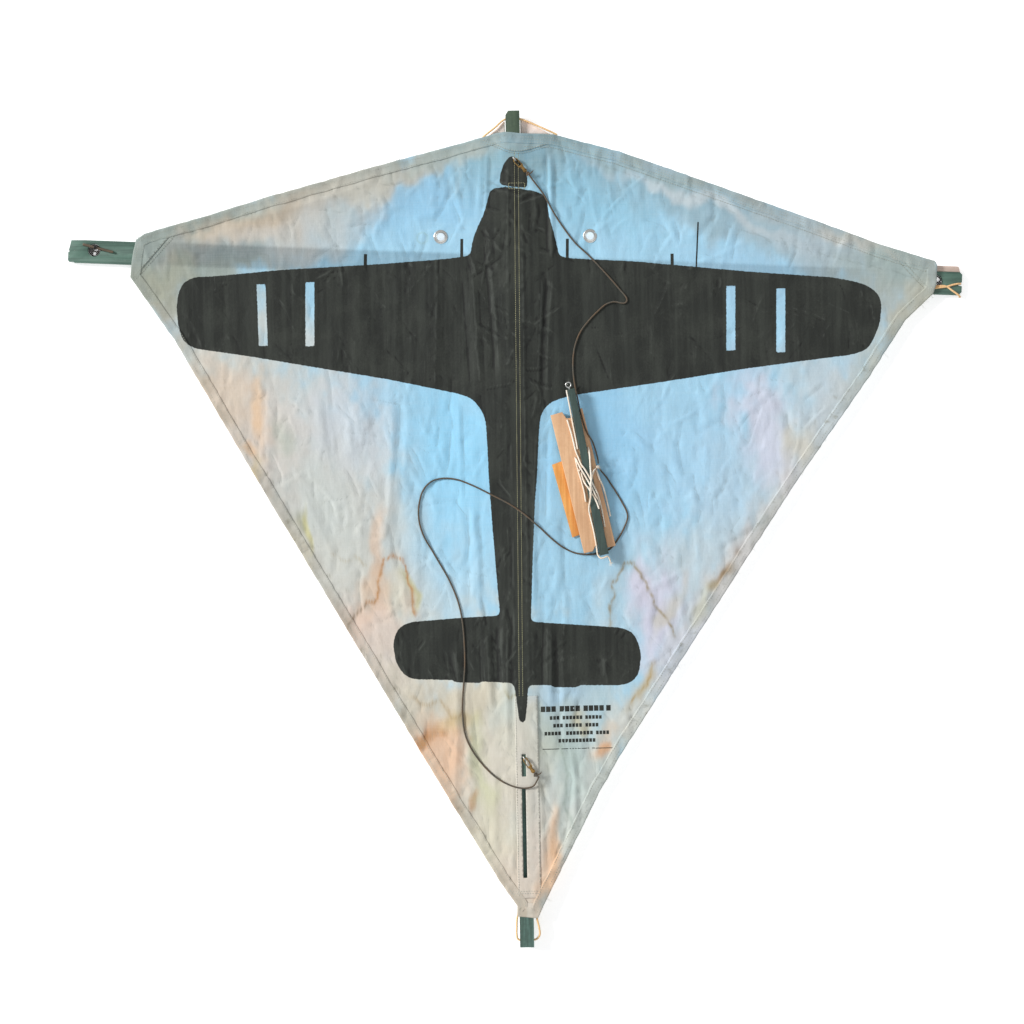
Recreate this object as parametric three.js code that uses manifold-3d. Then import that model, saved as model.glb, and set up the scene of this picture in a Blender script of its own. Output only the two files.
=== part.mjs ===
// Diamond kite: a cotton sail over a pivoting cross of two painted sticks, with its
// bridle line and the control-bar bundle lying on the sail.
// Millimetres. +Y runs up the longeron to the nose, +X to the right wing tip, +Z out of
// the printed face. The origin is under the middle of the longeron, where the kite lies.
import * as THREE from 'three';
import { mergeVertices } from 'three/addons/utils/BufferGeometryUtils.js';
import Module from 'manifold-3d';

const wasm = await Module();
wasm.setup();

// ---------------------------------------------------------------- driving dimensions
const GAP = 0.3; // running gap between pieces that touch
const SPAR = { half: 806.5, width: 41, depth: 9.5, yaw: -3.13, holeAt: 760, holeR: 11.5 };
const LONGERON = { length: 1505, width: 25.4, depth: 12.7, base: SPAR.depth + GAP };
const PIVOT = { y: 472, shankR: 3, headR: 7, headDepth: 4, nutAcross: 11, recessR: 8.4 };
const GROOVE = { x: -1, y: -547, width: 7, length: 160, depth: 9 };
const SLIT = { x: 0, y: -425, width: 7.2, length: 40 };
const CLOTH = { flat: 14, thick: 1, ridgeHalf: 14, slopeEnd: 118, patch: 0.6 };
const GROMMET = { inner: 6.8, outer: 12.6, hole: 8.2, flange: 0.8 };
const GROMMETS = { left: [-133, 528.5], right: [136, 525.5] };
const EYE = { ringR: 4.2, wireR: 1.1, shankR: 1.2, depth: 8, clear: 5.8 };
const EYES = { head: { at: [2, 664], turn: -47.5 }, tail: { at: [1, -412], turn: -57 } };
const SNAP = { plate: 2.2, outer: 4.6, inner: 2.8, length: 12.8, reach: 3.7, droop: 3.5,
  eyeAt: 23.8, pinAt: [12.5, -3.7], knotAt: 32.2 };
const GUY = { r: 1.9, holeR: 3, z: 16.2, headY: 738, tailY: -740 };
const BRIDLE_R = 1.5;
const LINE_R = 1.6;
const BOARD = { width: 58.6, length: 255, depth: 6.4 };
const BAR = { depth: 9.5, headHalf: 6.2, tailHalf: 8, head: [17.4, 164.6], tail: [5.1, -138.1] };
const BATTEN = { width: 22, length: 137, depth: 2.6 };
const PEG = { r: 2.3, length: 57, yaw: -15.5, tiedAt: [-755.5, 520.7], offCentre: 4.7 };
const SPLINT = { from: 650, to: 803, width: 10.5, depth: 7.5 };

const LONGERON_TOP = LONGERON.base + LONGERON.depth;
const SLOPE = (LONGERON_TOP + GAP - CLOTH.flat) / (CLOTH.slopeEnd - CLOTH.ridgeHalf);
const RAD = Math.PI / 180;

// ------------------------------------------------------------------------- materials
const finish = (color, roughness, metalness = 0) =>
  new THREE.MeshStandardMaterial({ color, roughness, metalness });
const MAT = {
  paint: () => finish(0x627d70, 0.6),
  sail: () => finish(0x9bcbe4, 0.9),
  patch: () => finish(0x9db3b4, 0.9),
  lining: () => finish(0xe8d5cf, 0.9),
  steel: () => finish(0xc8c9c6, 0.35, 1),
  brass: () => finish(0xb5894a, 0.4, 1),
  guy: () => finish(0xe0a870, 0.85),
  bridle: () => finish(0x5d5348, 0.8),
  board: () => finish(0xe0b184, 0.65),
  batten: () => finish(0xf2b063, 0.6),
  line: () => finish(0xf6e0c8, 0.85),
  peg: () => finish(0xa37e52, 0.7),
  bare: () => finish(0xcdb8a8, 0.75),
};

// --------------------------------------------------------------------------- helpers
function solid(geometry) {
  const bare = geometry.clone();
  bare.deleteAttribute('normal');
  bare.deleteAttribute('uv');
  const merged = mergeVertices(bare, 1e-4);
  return new wasm.Manifold(new wasm.Mesh({
    numProp: 3,
    vertProperties: new Float32Array(merged.attributes.position.array),
    triVerts: new Uint32Array(merged.index.array),
  }));
}

function geometryOf(manifold) {
  const mesh = manifold.getMesh();
  const geometry = new THREE.BufferGeometry();
  geometry.setAttribute('position', new THREE.BufferAttribute(mesh.vertProperties, 3));
  geometry.setIndex(new THREE.BufferAttribute(mesh.triVerts, 1));
  geometry.computeVertexNormals();
  return geometry;
}

const joined = (...pieces) => pieces.map(solid).reduce((a, b) => a.add(b));
const cut = (base, ...tools) => tools.map(solid).reduce((a, b) => a.subtract(b), base);

function polygon(points) {
  return new THREE.Shape(points.map(([x, y]) => new THREE.Vector2(x, y)));
}

function slab(shape, bottom, top, bevel = 0) {
  const geometry = new THREE.ExtrudeGeometry(shape, {
    depth: top - bottom - 2 * bevel, bevelEnabled: bevel > 0, bevelThickness: bevel,
    bevelSize: bevel, bevelOffset: -bevel, bevelSegments: 1, curveSegments: 10,
  });
  return geometry.translate(0, 0, bottom + bevel);
}

function box(x, y, z, centre) {
  return new THREE.BoxGeometry(x, y, z).translate(...centre);
}

function upright(radius, bottom, top, at, segments = 24) {
  return new THREE.CylinderGeometry(radius, radius, top - bottom, segments)
    .rotateX(Math.PI / 2).translate(at[0], at[1], (bottom + top) / 2);
}

function round(radius, sides) {
  const turn = (i) => (2 * Math.PI * i) / sides;
  return polygon([...Array(sides).keys()].map((i) =>
    [radius * Math.cos(turn(i)), radius * Math.sin(turn(i))]));
}

function tube(points, radius, steps, sides = 8) {
  const path = new THREE.CatmullRomCurve3(points.map((p) => new THREE.Vector3(...p)));
  return new THREE.ExtrudeGeometry(round(radius, sides), { steps, extrudePath: path });
}

function lathe(profile, segments = 32) {
  const points = profile.map(([r, z]) => new THREE.Vector2(r, z));
  return new THREE.LatheGeometry([...points, points[0]], segments).rotateX(Math.PI / 2);
}

function named(name, geometry, material) {
  const mesh = new THREE.Mesh(geometry, material);
  mesh.name = name;
  return mesh;
}

function group(children, { at = [0, 0, 0], yaw = 0 } = {}) {
  const result = new THREE.Group();
  result.add(...children);
  result.position.set(...at);
  result.rotation.z = yaw * RAD;
  return result;
}

// ------------------------------------------------------------------------- the sticks
function longeron() {
  const half = LONGERON.length / 2;
  const w = LONGERON.width / 2;
  const outline = polygon([[-w, -half], [w, -half], [w, half], [5 - w, half], [-w, half - 8]]);
  const bar = solid(slab(outline, LONGERON.base, LONGERON_TOP));
  const groove = box(GROOVE.width, GROOVE.length, GROOVE.depth,
    [GROOVE.x, GROOVE.y, LONGERON_TOP - GROOVE.depth / 2 + GAP / 2]);
  const pilots = Object.values(EYES).map((eye) => upright(EYE.shankR + GAP,
    LONGERON_TOP - EYE.depth - 1, LONGERON_TOP + 1, eye.at, 12));
  const guyHoles = [GUY.headY, GUY.tailY].map((y) =>
    new THREE.CylinderGeometry(GUY.holeR, GUY.holeR, 2 * w + 2, 12)
      .rotateZ(Math.PI / 2).translate(0, y, GUY.z));
  const shankHole = upright(PIVOT.shankR + 0.2, 0, 40, [0, PIVOT.y]);
  const sink = upright(PIVOT.headR + GAP, LONGERON_TOP - PIVOT.headDepth, 40, [0, PIVOT.y]);
  const body = cut(bar, groove, ...pilots, ...guyHoles, shankHole, sink);
  return named('longeron', geometryOf(body), MAT.paint());
}

function crossSpar() {
  const { half, width, depth } = SPAR;
  const w = width / 2;
  const notch = [[half, 2.5], [half - 6, 1.5], [half - 6, -3.5], [half, -4.5]];
  const right = [[half - 4, w], [half, w - 4], ...notch, [half, 5 - w], [half - 5, -w]];
  const left = [[11 - half, -w], [9 - half, 2 - w], [2 - half, 1 - w], [-half, 4 - w],
    [-half, -2], [3 - half, -0.5], [1 - half, 1], [5 - half, w - 1], [30 - half, w]];
  const bar = solid(slab(polygon([...right, ...left]), 0, depth));
  const holes = [-SPAR.holeAt, SPAR.holeAt].map((x) =>
    upright(SPAR.holeR, -1, depth + 1, [x, 3], 32));
  const shankHole = upright(PIVOT.shankR + 0.2, -1, depth + 1, [0, 0]);
  const recess = upright(PIVOT.recessR, -1, 6.4, [0, 0]);
  return named('cross_spar', geometryOf(cut(bar, ...holes, shankHole, recess)), MAT.paint());
}

function tipSplint() {
  const low = SPAR.width / 2 + GAP;
  const high = low + SPLINT.width;
  const outline = polygon([[SPLINT.from, low], [SPLINT.to, low],
    [SPLINT.to - 3, high], [SPLINT.from + 6, high]]);
  return named('tip_splint', slab(outline, 0.5, SPLINT.depth), MAT.bare());
}

// The doubled tie leaves the sail's right corner and forks: one strand goes into the
// spar's end notch, the other round its lower edge.
function tipTie() {
  const notchStrand = tube([[762, 421.5, 11.7], [777, 423, 11.7], [790, 426.5, 11.7],
    [799, 427.8, 11.6], [802.6, 428, 9.5], [803, 428, 6], [803, 428, 2.2]], 1.8, 24);
  const edgeStrand = tube([[762, 424.5, 11.7], [776, 423.6, 11.7], [787, 416, 11.7],
    [797, 408.5, 11.6], [801, 405.2, 10], [801.8, 404.7, 6], [801.8, 404.7, 2.2]], 1.8, 24);
  return named('tip_tie', geometryOf(joined(notchStrand, edgeStrand)), MAT.guy());
}

function togglePeg() {
  const half = PEG.length / 2;
  const profile = [[0, -half], [PEG.r - 0.8, -half], [PEG.r, 1 - half], [PEG.r, half - 1],
    [PEG.r - 0.8, half], [0, half]].map(([r, y]) => new THREE.Vector2(r, y));
  const peg = new THREE.LatheGeometry(profile, 12).rotateZ(-Math.PI / 2)
    .translate(PEG.offCentre, 0, 0);
  const height = SPAR.depth + GAP + PEG.r;
  const ringR = PEG.r + 1.2 + GAP;
  const ring = new THREE.TorusGeometry(ringR, 1.1, 8, 20).rotateY(Math.PI / 2);
  const tail = upright(1.1, 1 - height, -ringR, [0, 0], 8);
  return group([named('toggle_peg', peg, MAT.peg()),
    named('toggle_line', geometryOf(joined(ring, tail)), MAT.guy())],
  { at: [...PEG.tiedAt, height], yaw: PEG.yaw });
}

// -------------------------------------------------------------------------- the pivot
function pivotBolt() {
  const top = LONGERON_TOP - 0.4;
  const head = upright(PIVOT.headR, top - PIVOT.headDepth + 0.7, top, [0, PIVOT.y]);
  const shank = upright(PIVOT.shankR, 0.4, top - 1, [0, PIVOT.y]);
  return named('pivot_bolt', geometryOf(joined(head, shank)), MAT.steel());
}

function pivotNut() {
  const bore = new THREE.Path(round(PIVOT.shankR + 0.2, 16).getPoints().reverse());
  const hex = round(PIVOT.nutAcross / 2 / Math.cos(Math.PI / 6), 6);
  hex.holes.push(bore);
  const nut = slab(hex, 0.5, 4.4).translate(0, PIVOT.y, 0);
  const ring = round(PIVOT.recessR - 0.6, 24);
  ring.holes.push(bore);
  const washer = slab(ring, 4.4 + GAP, 6).translate(0, PIVOT.y, 0);
  return [named('pivot_nut', nut, MAT.steel()), named('pivot_washer', washer, MAT.steel())];
}

// --------------------------------------------------------------------------- the sail
const SAIL_EDGE = [[-49, 706], [-31, 711], [-14, 713], [13, 710], [73, 708], [193, 675],
  [336, 622], [514, 556], [657, 500], [756, 468], [759, 460], [757, 428], [751, 411],
  [700, 364], [635, 266], [506, 88], [321, -188], [173, -410], [136, -472], [30, -677],
  [20, -699], [-16, -695], [-15, -677], [-47, -631], [-134, -485], [-344, -122],
  [-501, 151], [-614, 351], [-692, 466], [-688, 500], [-681, 532], [-665, 543],
  [-565, 570], [-439, 606], [-258, 654]];
const sailPrism = () => solid(slab(polygon(SAIL_EDGE), -5, 60));

// Cloth laid over the sticks: flat at the tips, rising to a ridge over the longeron.
function draped(lift, thick) {
  const low = CLOTH.flat + lift;
  const ridge = LONGERON_TOP + GAP + lift;
  const under = [[-900, low], [-CLOTH.slopeEnd, low], [-CLOTH.ridgeHalf, ridge],
    [CLOTH.ridgeHalf, ridge], [CLOTH.slopeEnd, low], [900, low]];
  const over = [...under].reverse().map(([x, z]) => [x, z + thick]);
  return solid(slab(polygon([...under, ...over]), -900, 900).rotateX(Math.PI / 2));
}

const slotCutters = () => [
  box(SLIT.width, SLIT.length, 60, [SLIT.x, SLIT.y, 20]),
  box(GROOVE.width, GROOVE.length, 60, [GROOVE.x, GROOVE.y, 20]),
];

function sail() {
  const holes = Object.values(GROMMETS).map((at) => upright(GROMMET.hole, 0, 60, at));
  const eyeHole = upright(EYE.shankR + 2, 0, 60, EYES.head.at, 16);
  const cloth = draped(0, CLOTH.thick).intersect(sailPrism());
  return named('sail', geometryOf(cut(cloth, ...holes, eyeHole, ...slotCutters())), MAT.sail());
}

function patch(name, outline, cutters = []) {
  const cloth = draped(CLOTH.thick + GAP, CLOTH.patch).intersect(sailPrism())
    .intersect(solid(slab(polygon(outline), -5, 60)));
  return named(name, geometryOf(cut(cloth, ...cutters)), MAT.patch());
}

function patches() {
  const chevron = [[-75, 730], [-75, 703], [-50, 698], [-36, 693], [-16, 683], [-2, 679],
    [13, 678], [31, 682], [65, 692], [90, 700], [90, 730]];
  const leftTip = [[-720, 426], [-600, 562], [-600, 620], [-760, 620], [-760, 426]];
  const rightTip = [[830, 385], [830, 600], [670, 600], [670, 513], [765, 385]];
  const tail = [[-60, -672], [60, -672], [60, -720], [-60, -720]];
  const tape = [[-15, -300], [-15, -664], [27, -664], [27, -300]];
  return [patch('head_patch', chevron), patch('left_tip_patch', leftTip),
    patch('right_tip_patch', rightTip), patch('tail_patch', tail),
    patch('slot_tape', tape, slotCutters())];
}

function noseLinings() {
  const low = CLOTH.flat - 2;
  const left = slab(polygon([[-45, 709], [-14, 736], [-14, 714.5]]), low, low + 0.8);
  const right = slab(polygon([[14, 712], [14, 739], [68, 710.5]]), low, low + 0.8);
  return [named('nose_lining_left', left, MAT.lining()),
    named('nose_lining_right', right, MAT.lining())];
}

function grommet(side) {
  const { inner, outer, flange } = GROMMET;
  const top = CLOTH.flat + CLOTH.thick + GAP;
  const washerTop = CLOTH.flat - GAP;
  const washerLow = washerTop - 1;
  const eyelet = lathe([[inner, washerLow], [inner + 0.6, washerLow], [inner + 0.8, top],
    [outer, top], [outer - 0.8, top + flange], [inner + 1, top + flange + 0.3],
    [inner, top + 0.2]]);
  const washer = lathe([[inner + 1.2, washerLow], [outer - 0.6, washerLow],
    [outer - 0.6, washerTop], [inner + 1.2, washerTop]]);
  const [x, y] = GROMMETS[side];
  return group([named(`grommet_${side}`, eyelet, MAT.steel()),
    named(`grommet_washer_${side}`, washer, MAT.steel())], { at: [x, y, 0] });
}

// ------------------------------------------------------------- guy line in the hems
function guyLines() {
  const { z } = GUY;
  const head = [[-48.5, 711, 19], [-31, 723.5, 17.6], [-21, 734, z + 0.3],
    [-13, GUY.headY, z], [13, GUY.headY, z], [23, 736, z + 0.2], [46, 725, 17],
    [71, 713.5, 18]];
  const tail = [[-19.5, -703, 19.5], [-20, -717, 18], [-20, -730, 17], [-16.5, -738, z],
    [-12, GUY.tailY, z], [12, GUY.tailY, z], [18, -738, z], [23, -731, 16.8],
    [24, -719, 18], [20.5, -706, 19.5]];
  return [named('guy_line_head', tube(head, GUY.r, 30), MAT.guy()),
    named('guy_line_tail', tube(tail, GUY.r, 30), MAT.guy())];
}

// ------------------------------------------------------- screw eyes and snap hooks
function screwEye() {
  const ring = new THREE.TorusGeometry(EYE.ringR, EYE.wireR, 8, 24).rotateX(Math.PI / 2);
  const drop = -EYE.clear - CLOTH.thick - GAP - EYE.depth;
  return geometryOf(joined(ring, upright(EYE.shankR, drop, -EYE.ringR + 0.3, [0, 0], 12)));
}

function capsule(radius, length) {
  const shape = new THREE.Shape();
  shape.absarc(length, 0, radius, -Math.PI / 2, Math.PI / 2);
  shape.absarc(0, 0, radius, Math.PI / 2, (3 * Math.PI) / 2);
  return shape;
}

// A flat brass hook: an open oval, closed by the gate, with a small eye for the line.
function snapBody() {
  const half = SNAP.plate / 2;
  const oval = slab(capsule(SNAP.outer, SNAP.length), -half, half, 0.4);
  const neck = box(7, 3.4, SNAP.plate - 0.6, [SNAP.eyeAt - 4.5, 0, 0]);
  const eye = upright(3.6, -half, half, [SNAP.eyeAt, 0]);
  const body = cut(joined(oval, neck, eye), slab(capsule(SNAP.inner, SNAP.length), -3, 3),
    upright(1.7, -3, 3, [SNAP.eyeAt, 0], 16),
    box(11.8, 3.2, 6, [8.2, -SNAP.inner - 1.4, 0]));
  return geometryOf(body);
}

function snapGate() {
  const [x, y] = SNAP.pinAt;
  const bar = box(9.8, 1.6, 1.6, [x - 4.8, y, 0]);
  const hub = upright(1.2, -1.1, 1.1, [x, y], 12);
  return geometryOf(joined(bar, hub));
}

function lineKnot() {
  const knot = new THREE.SphereGeometry(1, 12, 8).scale(4.4, 3.6, 3.2);
  const tail = tube([[0, 0, 0], [2, 4, 0.8], [2.6, 8, 1], [2, 12, 0.8]], 1.3, 6);
  return geometryOf(joined(knot, tail));
}

function eyeWithSnap(end) {
  const { at, turn } = EYES[end];
  const ringZ = LONGERON_TOP + GAP + CLOTH.thick + EYE.clear;
  const hook = new THREE.Group();
  hook.add(named(`snap_hook_${end}`, snapBody(), MAT.brass()),
    named(`snap_gate_${end}`, snapGate(), MAT.brass()));
  const knot = named(`bridle_knot_${end}`, lineKnot(), MAT.bridle());
  knot.position.x = SNAP.knotAt;
  hook.add(knot);
  hook.position.x = SNAP.reach;
  const tilt = new THREE.Group();
  tilt.rotation.y = SNAP.droop * RAD;
  tilt.add(hook);
  return group([named(`screw_eye_${end}`, screwEye(), MAT.steel()), tilt],
    { at: [...at, ringZ], yaw: turn });
}

// --------------------------------------------------------------------- bridle line
const onSail = ([x, y, up = 0]) => {
  const run = Math.min(Math.max(Math.abs(x) - CLOTH.ridgeHalf, 0),
    CLOTH.slopeEnd - CLOTH.ridgeHalf);
  const top = LONGERON_TOP + GAP + CLOTH.thick - SLOPE * run;
  return [x, y, top + BRIDLE_R + 1.5 + up];
};
const BRIDLE_UPPER = [[31.5, 630.5, 2.2], [42, 616.5, 0.6], [54, 600], [67, 575], [86, 544],
  [109, 513], [134, 489], [157, 464], [177, 441], [191, 424], [198.5, 414.5], [200.5, 408],
  [196.5, 403.2], [189, 403.5], [178, 406], [163, 402], [147, 389], [131, 373], [115, 352],
  [104.5, 325], [101, 296], [102, 270], [105.5, 247], [108.4, 232, 1.8], [109.9, 222.2, 5.4]];
const BRIDLE_LOWER = [[144.9, 105.9, 10.4], [150.5, 99, 5.6], [158, 90, 1], [165, 79], [176, 61],
  [186, 43], [193, 28], [194.5, 17], [188, -1], [176, -22], [163, -38, -1.2],
  [150, -44.5, -1.2], [136, -47.5, -1.2], [116, -47.5], [98, -44.5], [78, -35], [57, -18.5],
  [36, 2], [9, 26], [-16, 44], [-51, 63], [-84, 80], [-112, 91], [-138, 93.5], [-158, 88],
  [-173, 72], [-181, 44], [-181, 18], [-173, -10], [-154, -44], [-125, -98], [-109, -147],
  [-103, -230], [-109, -332], [-102, -377], [-75, -422], [-40, -453, 0.6],
  [-4, -465.5, 1], [16, -462, 1.5], [23.2, -451.5, 3]];

function bridle() {
  return [
    named('bridle_upper', tube(BRIDLE_UPPER.map(onSail), BRIDLE_R, 44), MAT.bridle()),
    named('bridle_lower', tube(BRIDLE_LOWER.map(onSail), BRIDLE_R, 80), MAT.bridle()),
  ];
}

// ------------------------------------------------- the control bar and winder bundle
// Its own frame: across the board, along the board, and up from the board's back.
const BUNDLE = { at: [115.2, 85, 20.7], yaw: 12.7, across: -0.03, along: 0.006 };

function winderBoard() {
  const w = BOARD.width / 2;
  const l = BOARD.length / 2;
  const outline = polygon([[-w, -l], [-13, -l], [-6, 9 - l], [7, 8 - l], [13.7, -l], [w, -l],
    [w, l], [19.4, l - 3], [12, l - 14], [-2.6, l - 12], [-7.5, l + 1], [-w, l]]);
  return named('winder_board', slab(outline, 0, BOARD.depth, 0.6), MAT.board());
}

function controlBar() {
  const [hx, hy] = BAR.head;
  const [tx, ty] = BAR.tail;
  const low = BOARD.depth + GAP;
  const outline = polygon([[tx - BAR.tailHalf, ty], [tx + BAR.tailHalf, ty],
    [hx + BAR.headHalf, hy], [hx - BAR.headHalf, hy]]);
  const bar = solid(slab(outline, low, low + BAR.depth, 0.8));
  const eyeHole = new THREE.CylinderGeometry(1.7, 1.7, 28, 12)
    .translate(hx - 3, hy, low + BAR.depth / 2);
  return named('control_bar', geometryOf(cut(bar, eyeHole)), MAT.paint());
}

function barEye() {
  const [hx, hy] = BAR.head;
  const ring = new THREE.TorusGeometry(4.6, 1.2, 8, 24).translate(0, 8.4, 0);
  const shank = new THREE.CylinderGeometry(1.3, 1.3, 16, 12).translate(0, -3.8, 0);
  const eye = geometryOf(joined(ring, shank));
  eye.translate(hx - 3, hy, BOARD.depth + GAP + BAR.depth / 2);
  return named('bar_eye', eye, MAT.steel());
}

// Runs of the control line as it is wound on the board, over and beside the bar.
const LINE_RUNS = {
  eye: [[9, 164.6, 11.5], [8.4, 150, 10.5], [7.5, 128, 8.9], [6.5, 112, 8.4],
    [5.5, 90, 8.4], [4.5, 70, 8.4], [3.6, 57, 8.4]],
  notch: [[-2.2, 113, 8.6], [-1.4, 100, 8.4], [-0.6, 85, 8.4], [-0.6, 70, 8.4],
    [-0.5, 54, 8.4], [1.2, 42, 9.4], [1.6, 35, 14.5], [2.6, 29, 18], [6, 21, 18.6], [11, 5, 18.3],
    [14.8, -12, 18.3], [18.6, -28, 17], [20, -40, 11], [20, -56, 8.4], [19, -76, 8.4],
    [17.8, -90, 8.4]],
  cross: [[22.4, 56, 10], [22.2, 48, 14], [20.5, 38, 20], [17.5, 22, 21.9], [13.8, 0, 21.9],
    [9, -20, 21.9], [3.8, -35, 20.8], [0.4, -43, 18.8], [-2.2, -51, 13.5], [-3, -61, 8.8],
    [-3, -88, 8.4], [-4, -110, 8.4], [-5.4, -126, 8.6], [-6.2, -136, 10],
    [-2.6, -142.6, 11.4], [5, -143, 12], [10.5, -142, 12]],
  left: [[-4.4, 44, 8.4], [-4.6, 20, 8.4], [-3.4, -2, 8.4], [-3.2, -20, 8.4],
    [-4.6, -38, 8.4]],
  low: [[0, 15, 8.4], [0, 5, 10], [0.4, -2, 15], [2, -8, 18.1], [5, -15, 18.6], [9.5, -28, 18.3],
    [13.4, -42, 18.3], [15, -56, 18.3]],
  right: [[27.4, 12.4, 8.4], [29, -3, 8.8], [31.8, -18, 8.4], [33, -36, 4.6],
    [33, -56, 2.4], [32.6, -74, 2.4]],
};

function lineRuns() {
  return Object.entries(LINE_RUNS).map(([name, points]) =>
    named(`control_line_${name}`, tube(points, LINE_R, 2 * points.length + 4), MAT.line()));
}

function bridleOnBoard() {
  const points = [[24.4, 133.6, 3.5], [24.4, 128, 7.4], [24.5, 121, 8.3], [24.9, 108, 8.3],
    [25.6, 92, 8.3], [27.6, 80, 8.4], [30.6, 71, 7.6], [33.4, 62, 4], [34.6, 50, 2.4],
    [35, 38, 2.6], [34.6, 29, 5], [33.4, 23.6, 7.4]];
  const knot = new THREE.SphereGeometry(1, 12, 8).scale(3.6, 3.6, 3).translate(31.6, 17.4, 10.2);
  return [named('bridle_on_board', tube(points, BRIDLE_R, 28), MAT.bridle()),
    named('bridle_knot_board', knot, MAT.line())];
}

function bundle() {
  const result = new THREE.Group();
  result.add(winderBoard(), controlBar(), barEye(), ...lineRuns(), ...bridleOnBoard());
  const turn = new THREE.Matrix4().makeRotationZ(BUNDLE.yaw * RAD);
  const x = new THREE.Vector3(1, 0, BUNDLE.across).applyMatrix4(turn).normalize();
  const y = new THREE.Vector3(0, 1, BUNDLE.along).applyMatrix4(turn);
  const z = new THREE.Vector3().crossVectors(x, y).normalize();
  y.crossVectors(z, x);
  result.applyMatrix4(new THREE.Matrix4().makeBasis(x, y, z).setPosition(...BUNDLE.at));
  return result;
}

// A loose strip tucked under the board's left edge, lying on the slope of the sail.
function batten() {
  const { width, length, depth } = BATTEN;
  const outline = polygon([[0, -length / 2], [width, -length / 2 + 2],
    [width, length / 2 + 1], [0, length / 2 - 1]]);
  const strip = named('batten', slab(outline, 0, depth, 0.4), MAT.batten());
  const lean = new THREE.Matrix4().makeRotationY(Math.atan(SLOPE));
  const yaw = new THREE.Matrix4().makeRotationZ(14.7 * RAD);
  const top = LONGERON_TOP + GAP + CLOTH.thick - SLOPE * (76.9 - CLOTH.ridgeHalf);
  strip.applyMatrix4(lean.multiply(yaw).setPosition(76.9, 49, top + 0.5));
  return strip;
}

// --------------------------------------------------------------------------- the kite
const spar = group([crossSpar(), tipSplint()], { at: [0, PIVOT.y, 0], yaw: SPAR.yaw });
export default group([
  longeron(), pivotBolt(), ...pivotNut(), spar, tipTie(), togglePeg(),
  sail(), ...patches(), ...noseLinings(), grommet('left'), grommet('right'),
  ...guyLines(), eyeWithSnap('head'), eyeWithSnap('tail'), ...bridle(),
  bundle(), batten(),
]);
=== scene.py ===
"""Looks of the diamond kite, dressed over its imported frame.

This file's own values are millimetres; Blender's are metres. +Y runs up the longeron
to the nose, +X to the right wing tip and +Z out of the printed face.
"""

import logging
import math
from dataclasses import dataclass
from enum import Enum

import bmesh
import bpy
import numpy as np
from mathutils import Matrix, Vector
from mathutils.geometry import delaunay_2d_cdt


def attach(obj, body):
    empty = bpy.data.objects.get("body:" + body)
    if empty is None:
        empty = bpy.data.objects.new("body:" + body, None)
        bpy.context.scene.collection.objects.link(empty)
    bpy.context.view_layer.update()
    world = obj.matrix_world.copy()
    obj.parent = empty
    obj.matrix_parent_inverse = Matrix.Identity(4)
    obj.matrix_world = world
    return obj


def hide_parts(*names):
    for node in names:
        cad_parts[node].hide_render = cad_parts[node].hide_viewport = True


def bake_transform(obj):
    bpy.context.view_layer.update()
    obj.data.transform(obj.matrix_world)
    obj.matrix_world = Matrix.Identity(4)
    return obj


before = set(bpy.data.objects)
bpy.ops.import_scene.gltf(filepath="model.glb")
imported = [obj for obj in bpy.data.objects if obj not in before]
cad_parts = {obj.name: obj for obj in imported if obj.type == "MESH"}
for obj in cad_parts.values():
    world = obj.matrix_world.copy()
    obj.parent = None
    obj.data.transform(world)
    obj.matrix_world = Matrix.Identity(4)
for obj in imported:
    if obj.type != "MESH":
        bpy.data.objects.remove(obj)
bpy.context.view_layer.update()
LOG = logging.getLogger("kite")
MM = 0.001

Piece = bpy.types.Object
Socket = bpy.types.NodeSocket
Node = bpy.types.Node
Tree = bpy.types.NodeTree
Material = bpy.types.Material
Point = tuple[float, float]
Points = list[tuple[float, ...]]

# ------------------------------------------------------------------- shared dimensions
SAIL_EDGE = [(-49, 706), (-31, 711), (-14, 713), (13, 710), (73, 708), (193, 675),
             (336, 622), (514, 556), (657, 500), (756, 468), (759, 460), (757, 428),
             (751, 411), (700, 364), (635, 266), (506, 88), (321, -188), (173, -410),
             (136, -472), (30, -677), (20, -699), (-16, -695), (-15, -677), (-47, -631),
             (-134, -485), (-344, -122), (-501, 151), (-614, 351), (-692, 466),
             (-688, 500), (-681, 532), (-665, 543), (-565, 570), (-439, 606), (-258, 654)]
CORNERS = {"head": (-1, 712), "right": (758, 444), "tail": (2, -697), "left": (-690, 484)}
RIDGE = {"half": 13.6, "top": 23.2, "flat": 14.6, "run": 118.0}
SPAR = {"y": 472.0, "half": 20.5, "tilt": -0.0547}
SLOT = (-4.5, -627.0, 2.5, -467.0)
SLIT = (-3.6, -445.0, 3.6, -405.0)
GROMMETS = {"left": (-133.0, 528.5), "right": (136.0, 525.5)}
GROMMET_HOLE = 9.6
BUNDLE_ROOM = (45.0, -75.0, 190.0, 235.0)


# ------------------------------------------------------------------------- small tools
def linear(red: float, green: float, blue: float) -> tuple[float, float, float]:
    """Turns a screen colour into the linear one that shaders use.

    Args:
        red, green, blue: the colour's parts, 0 to 255.

    Returns:
        The linear colour, 0 to 1.
    """
    parts = (red / 255, green / 255, blue / 255)
    return tuple(c / 12.92 if c <= 0.04045 else ((c + 0.055) / 1.055) ** 2.4 for c in parts)


def smoothstep(low: float, high: float, value: np.ndarray) -> np.ndarray:
    """A smooth ramp from 0 at low to 1 at high.

    Args:
        low, high: where the ramp starts and ends; low may be above high.
        value: the numbers to ramp.

    Returns:
        The ramped numbers, 0 to 1.
    """
    t = np.clip((value - low) / (high - low), 0, 1)
    return t * t * (3 - 2 * t)


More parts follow.
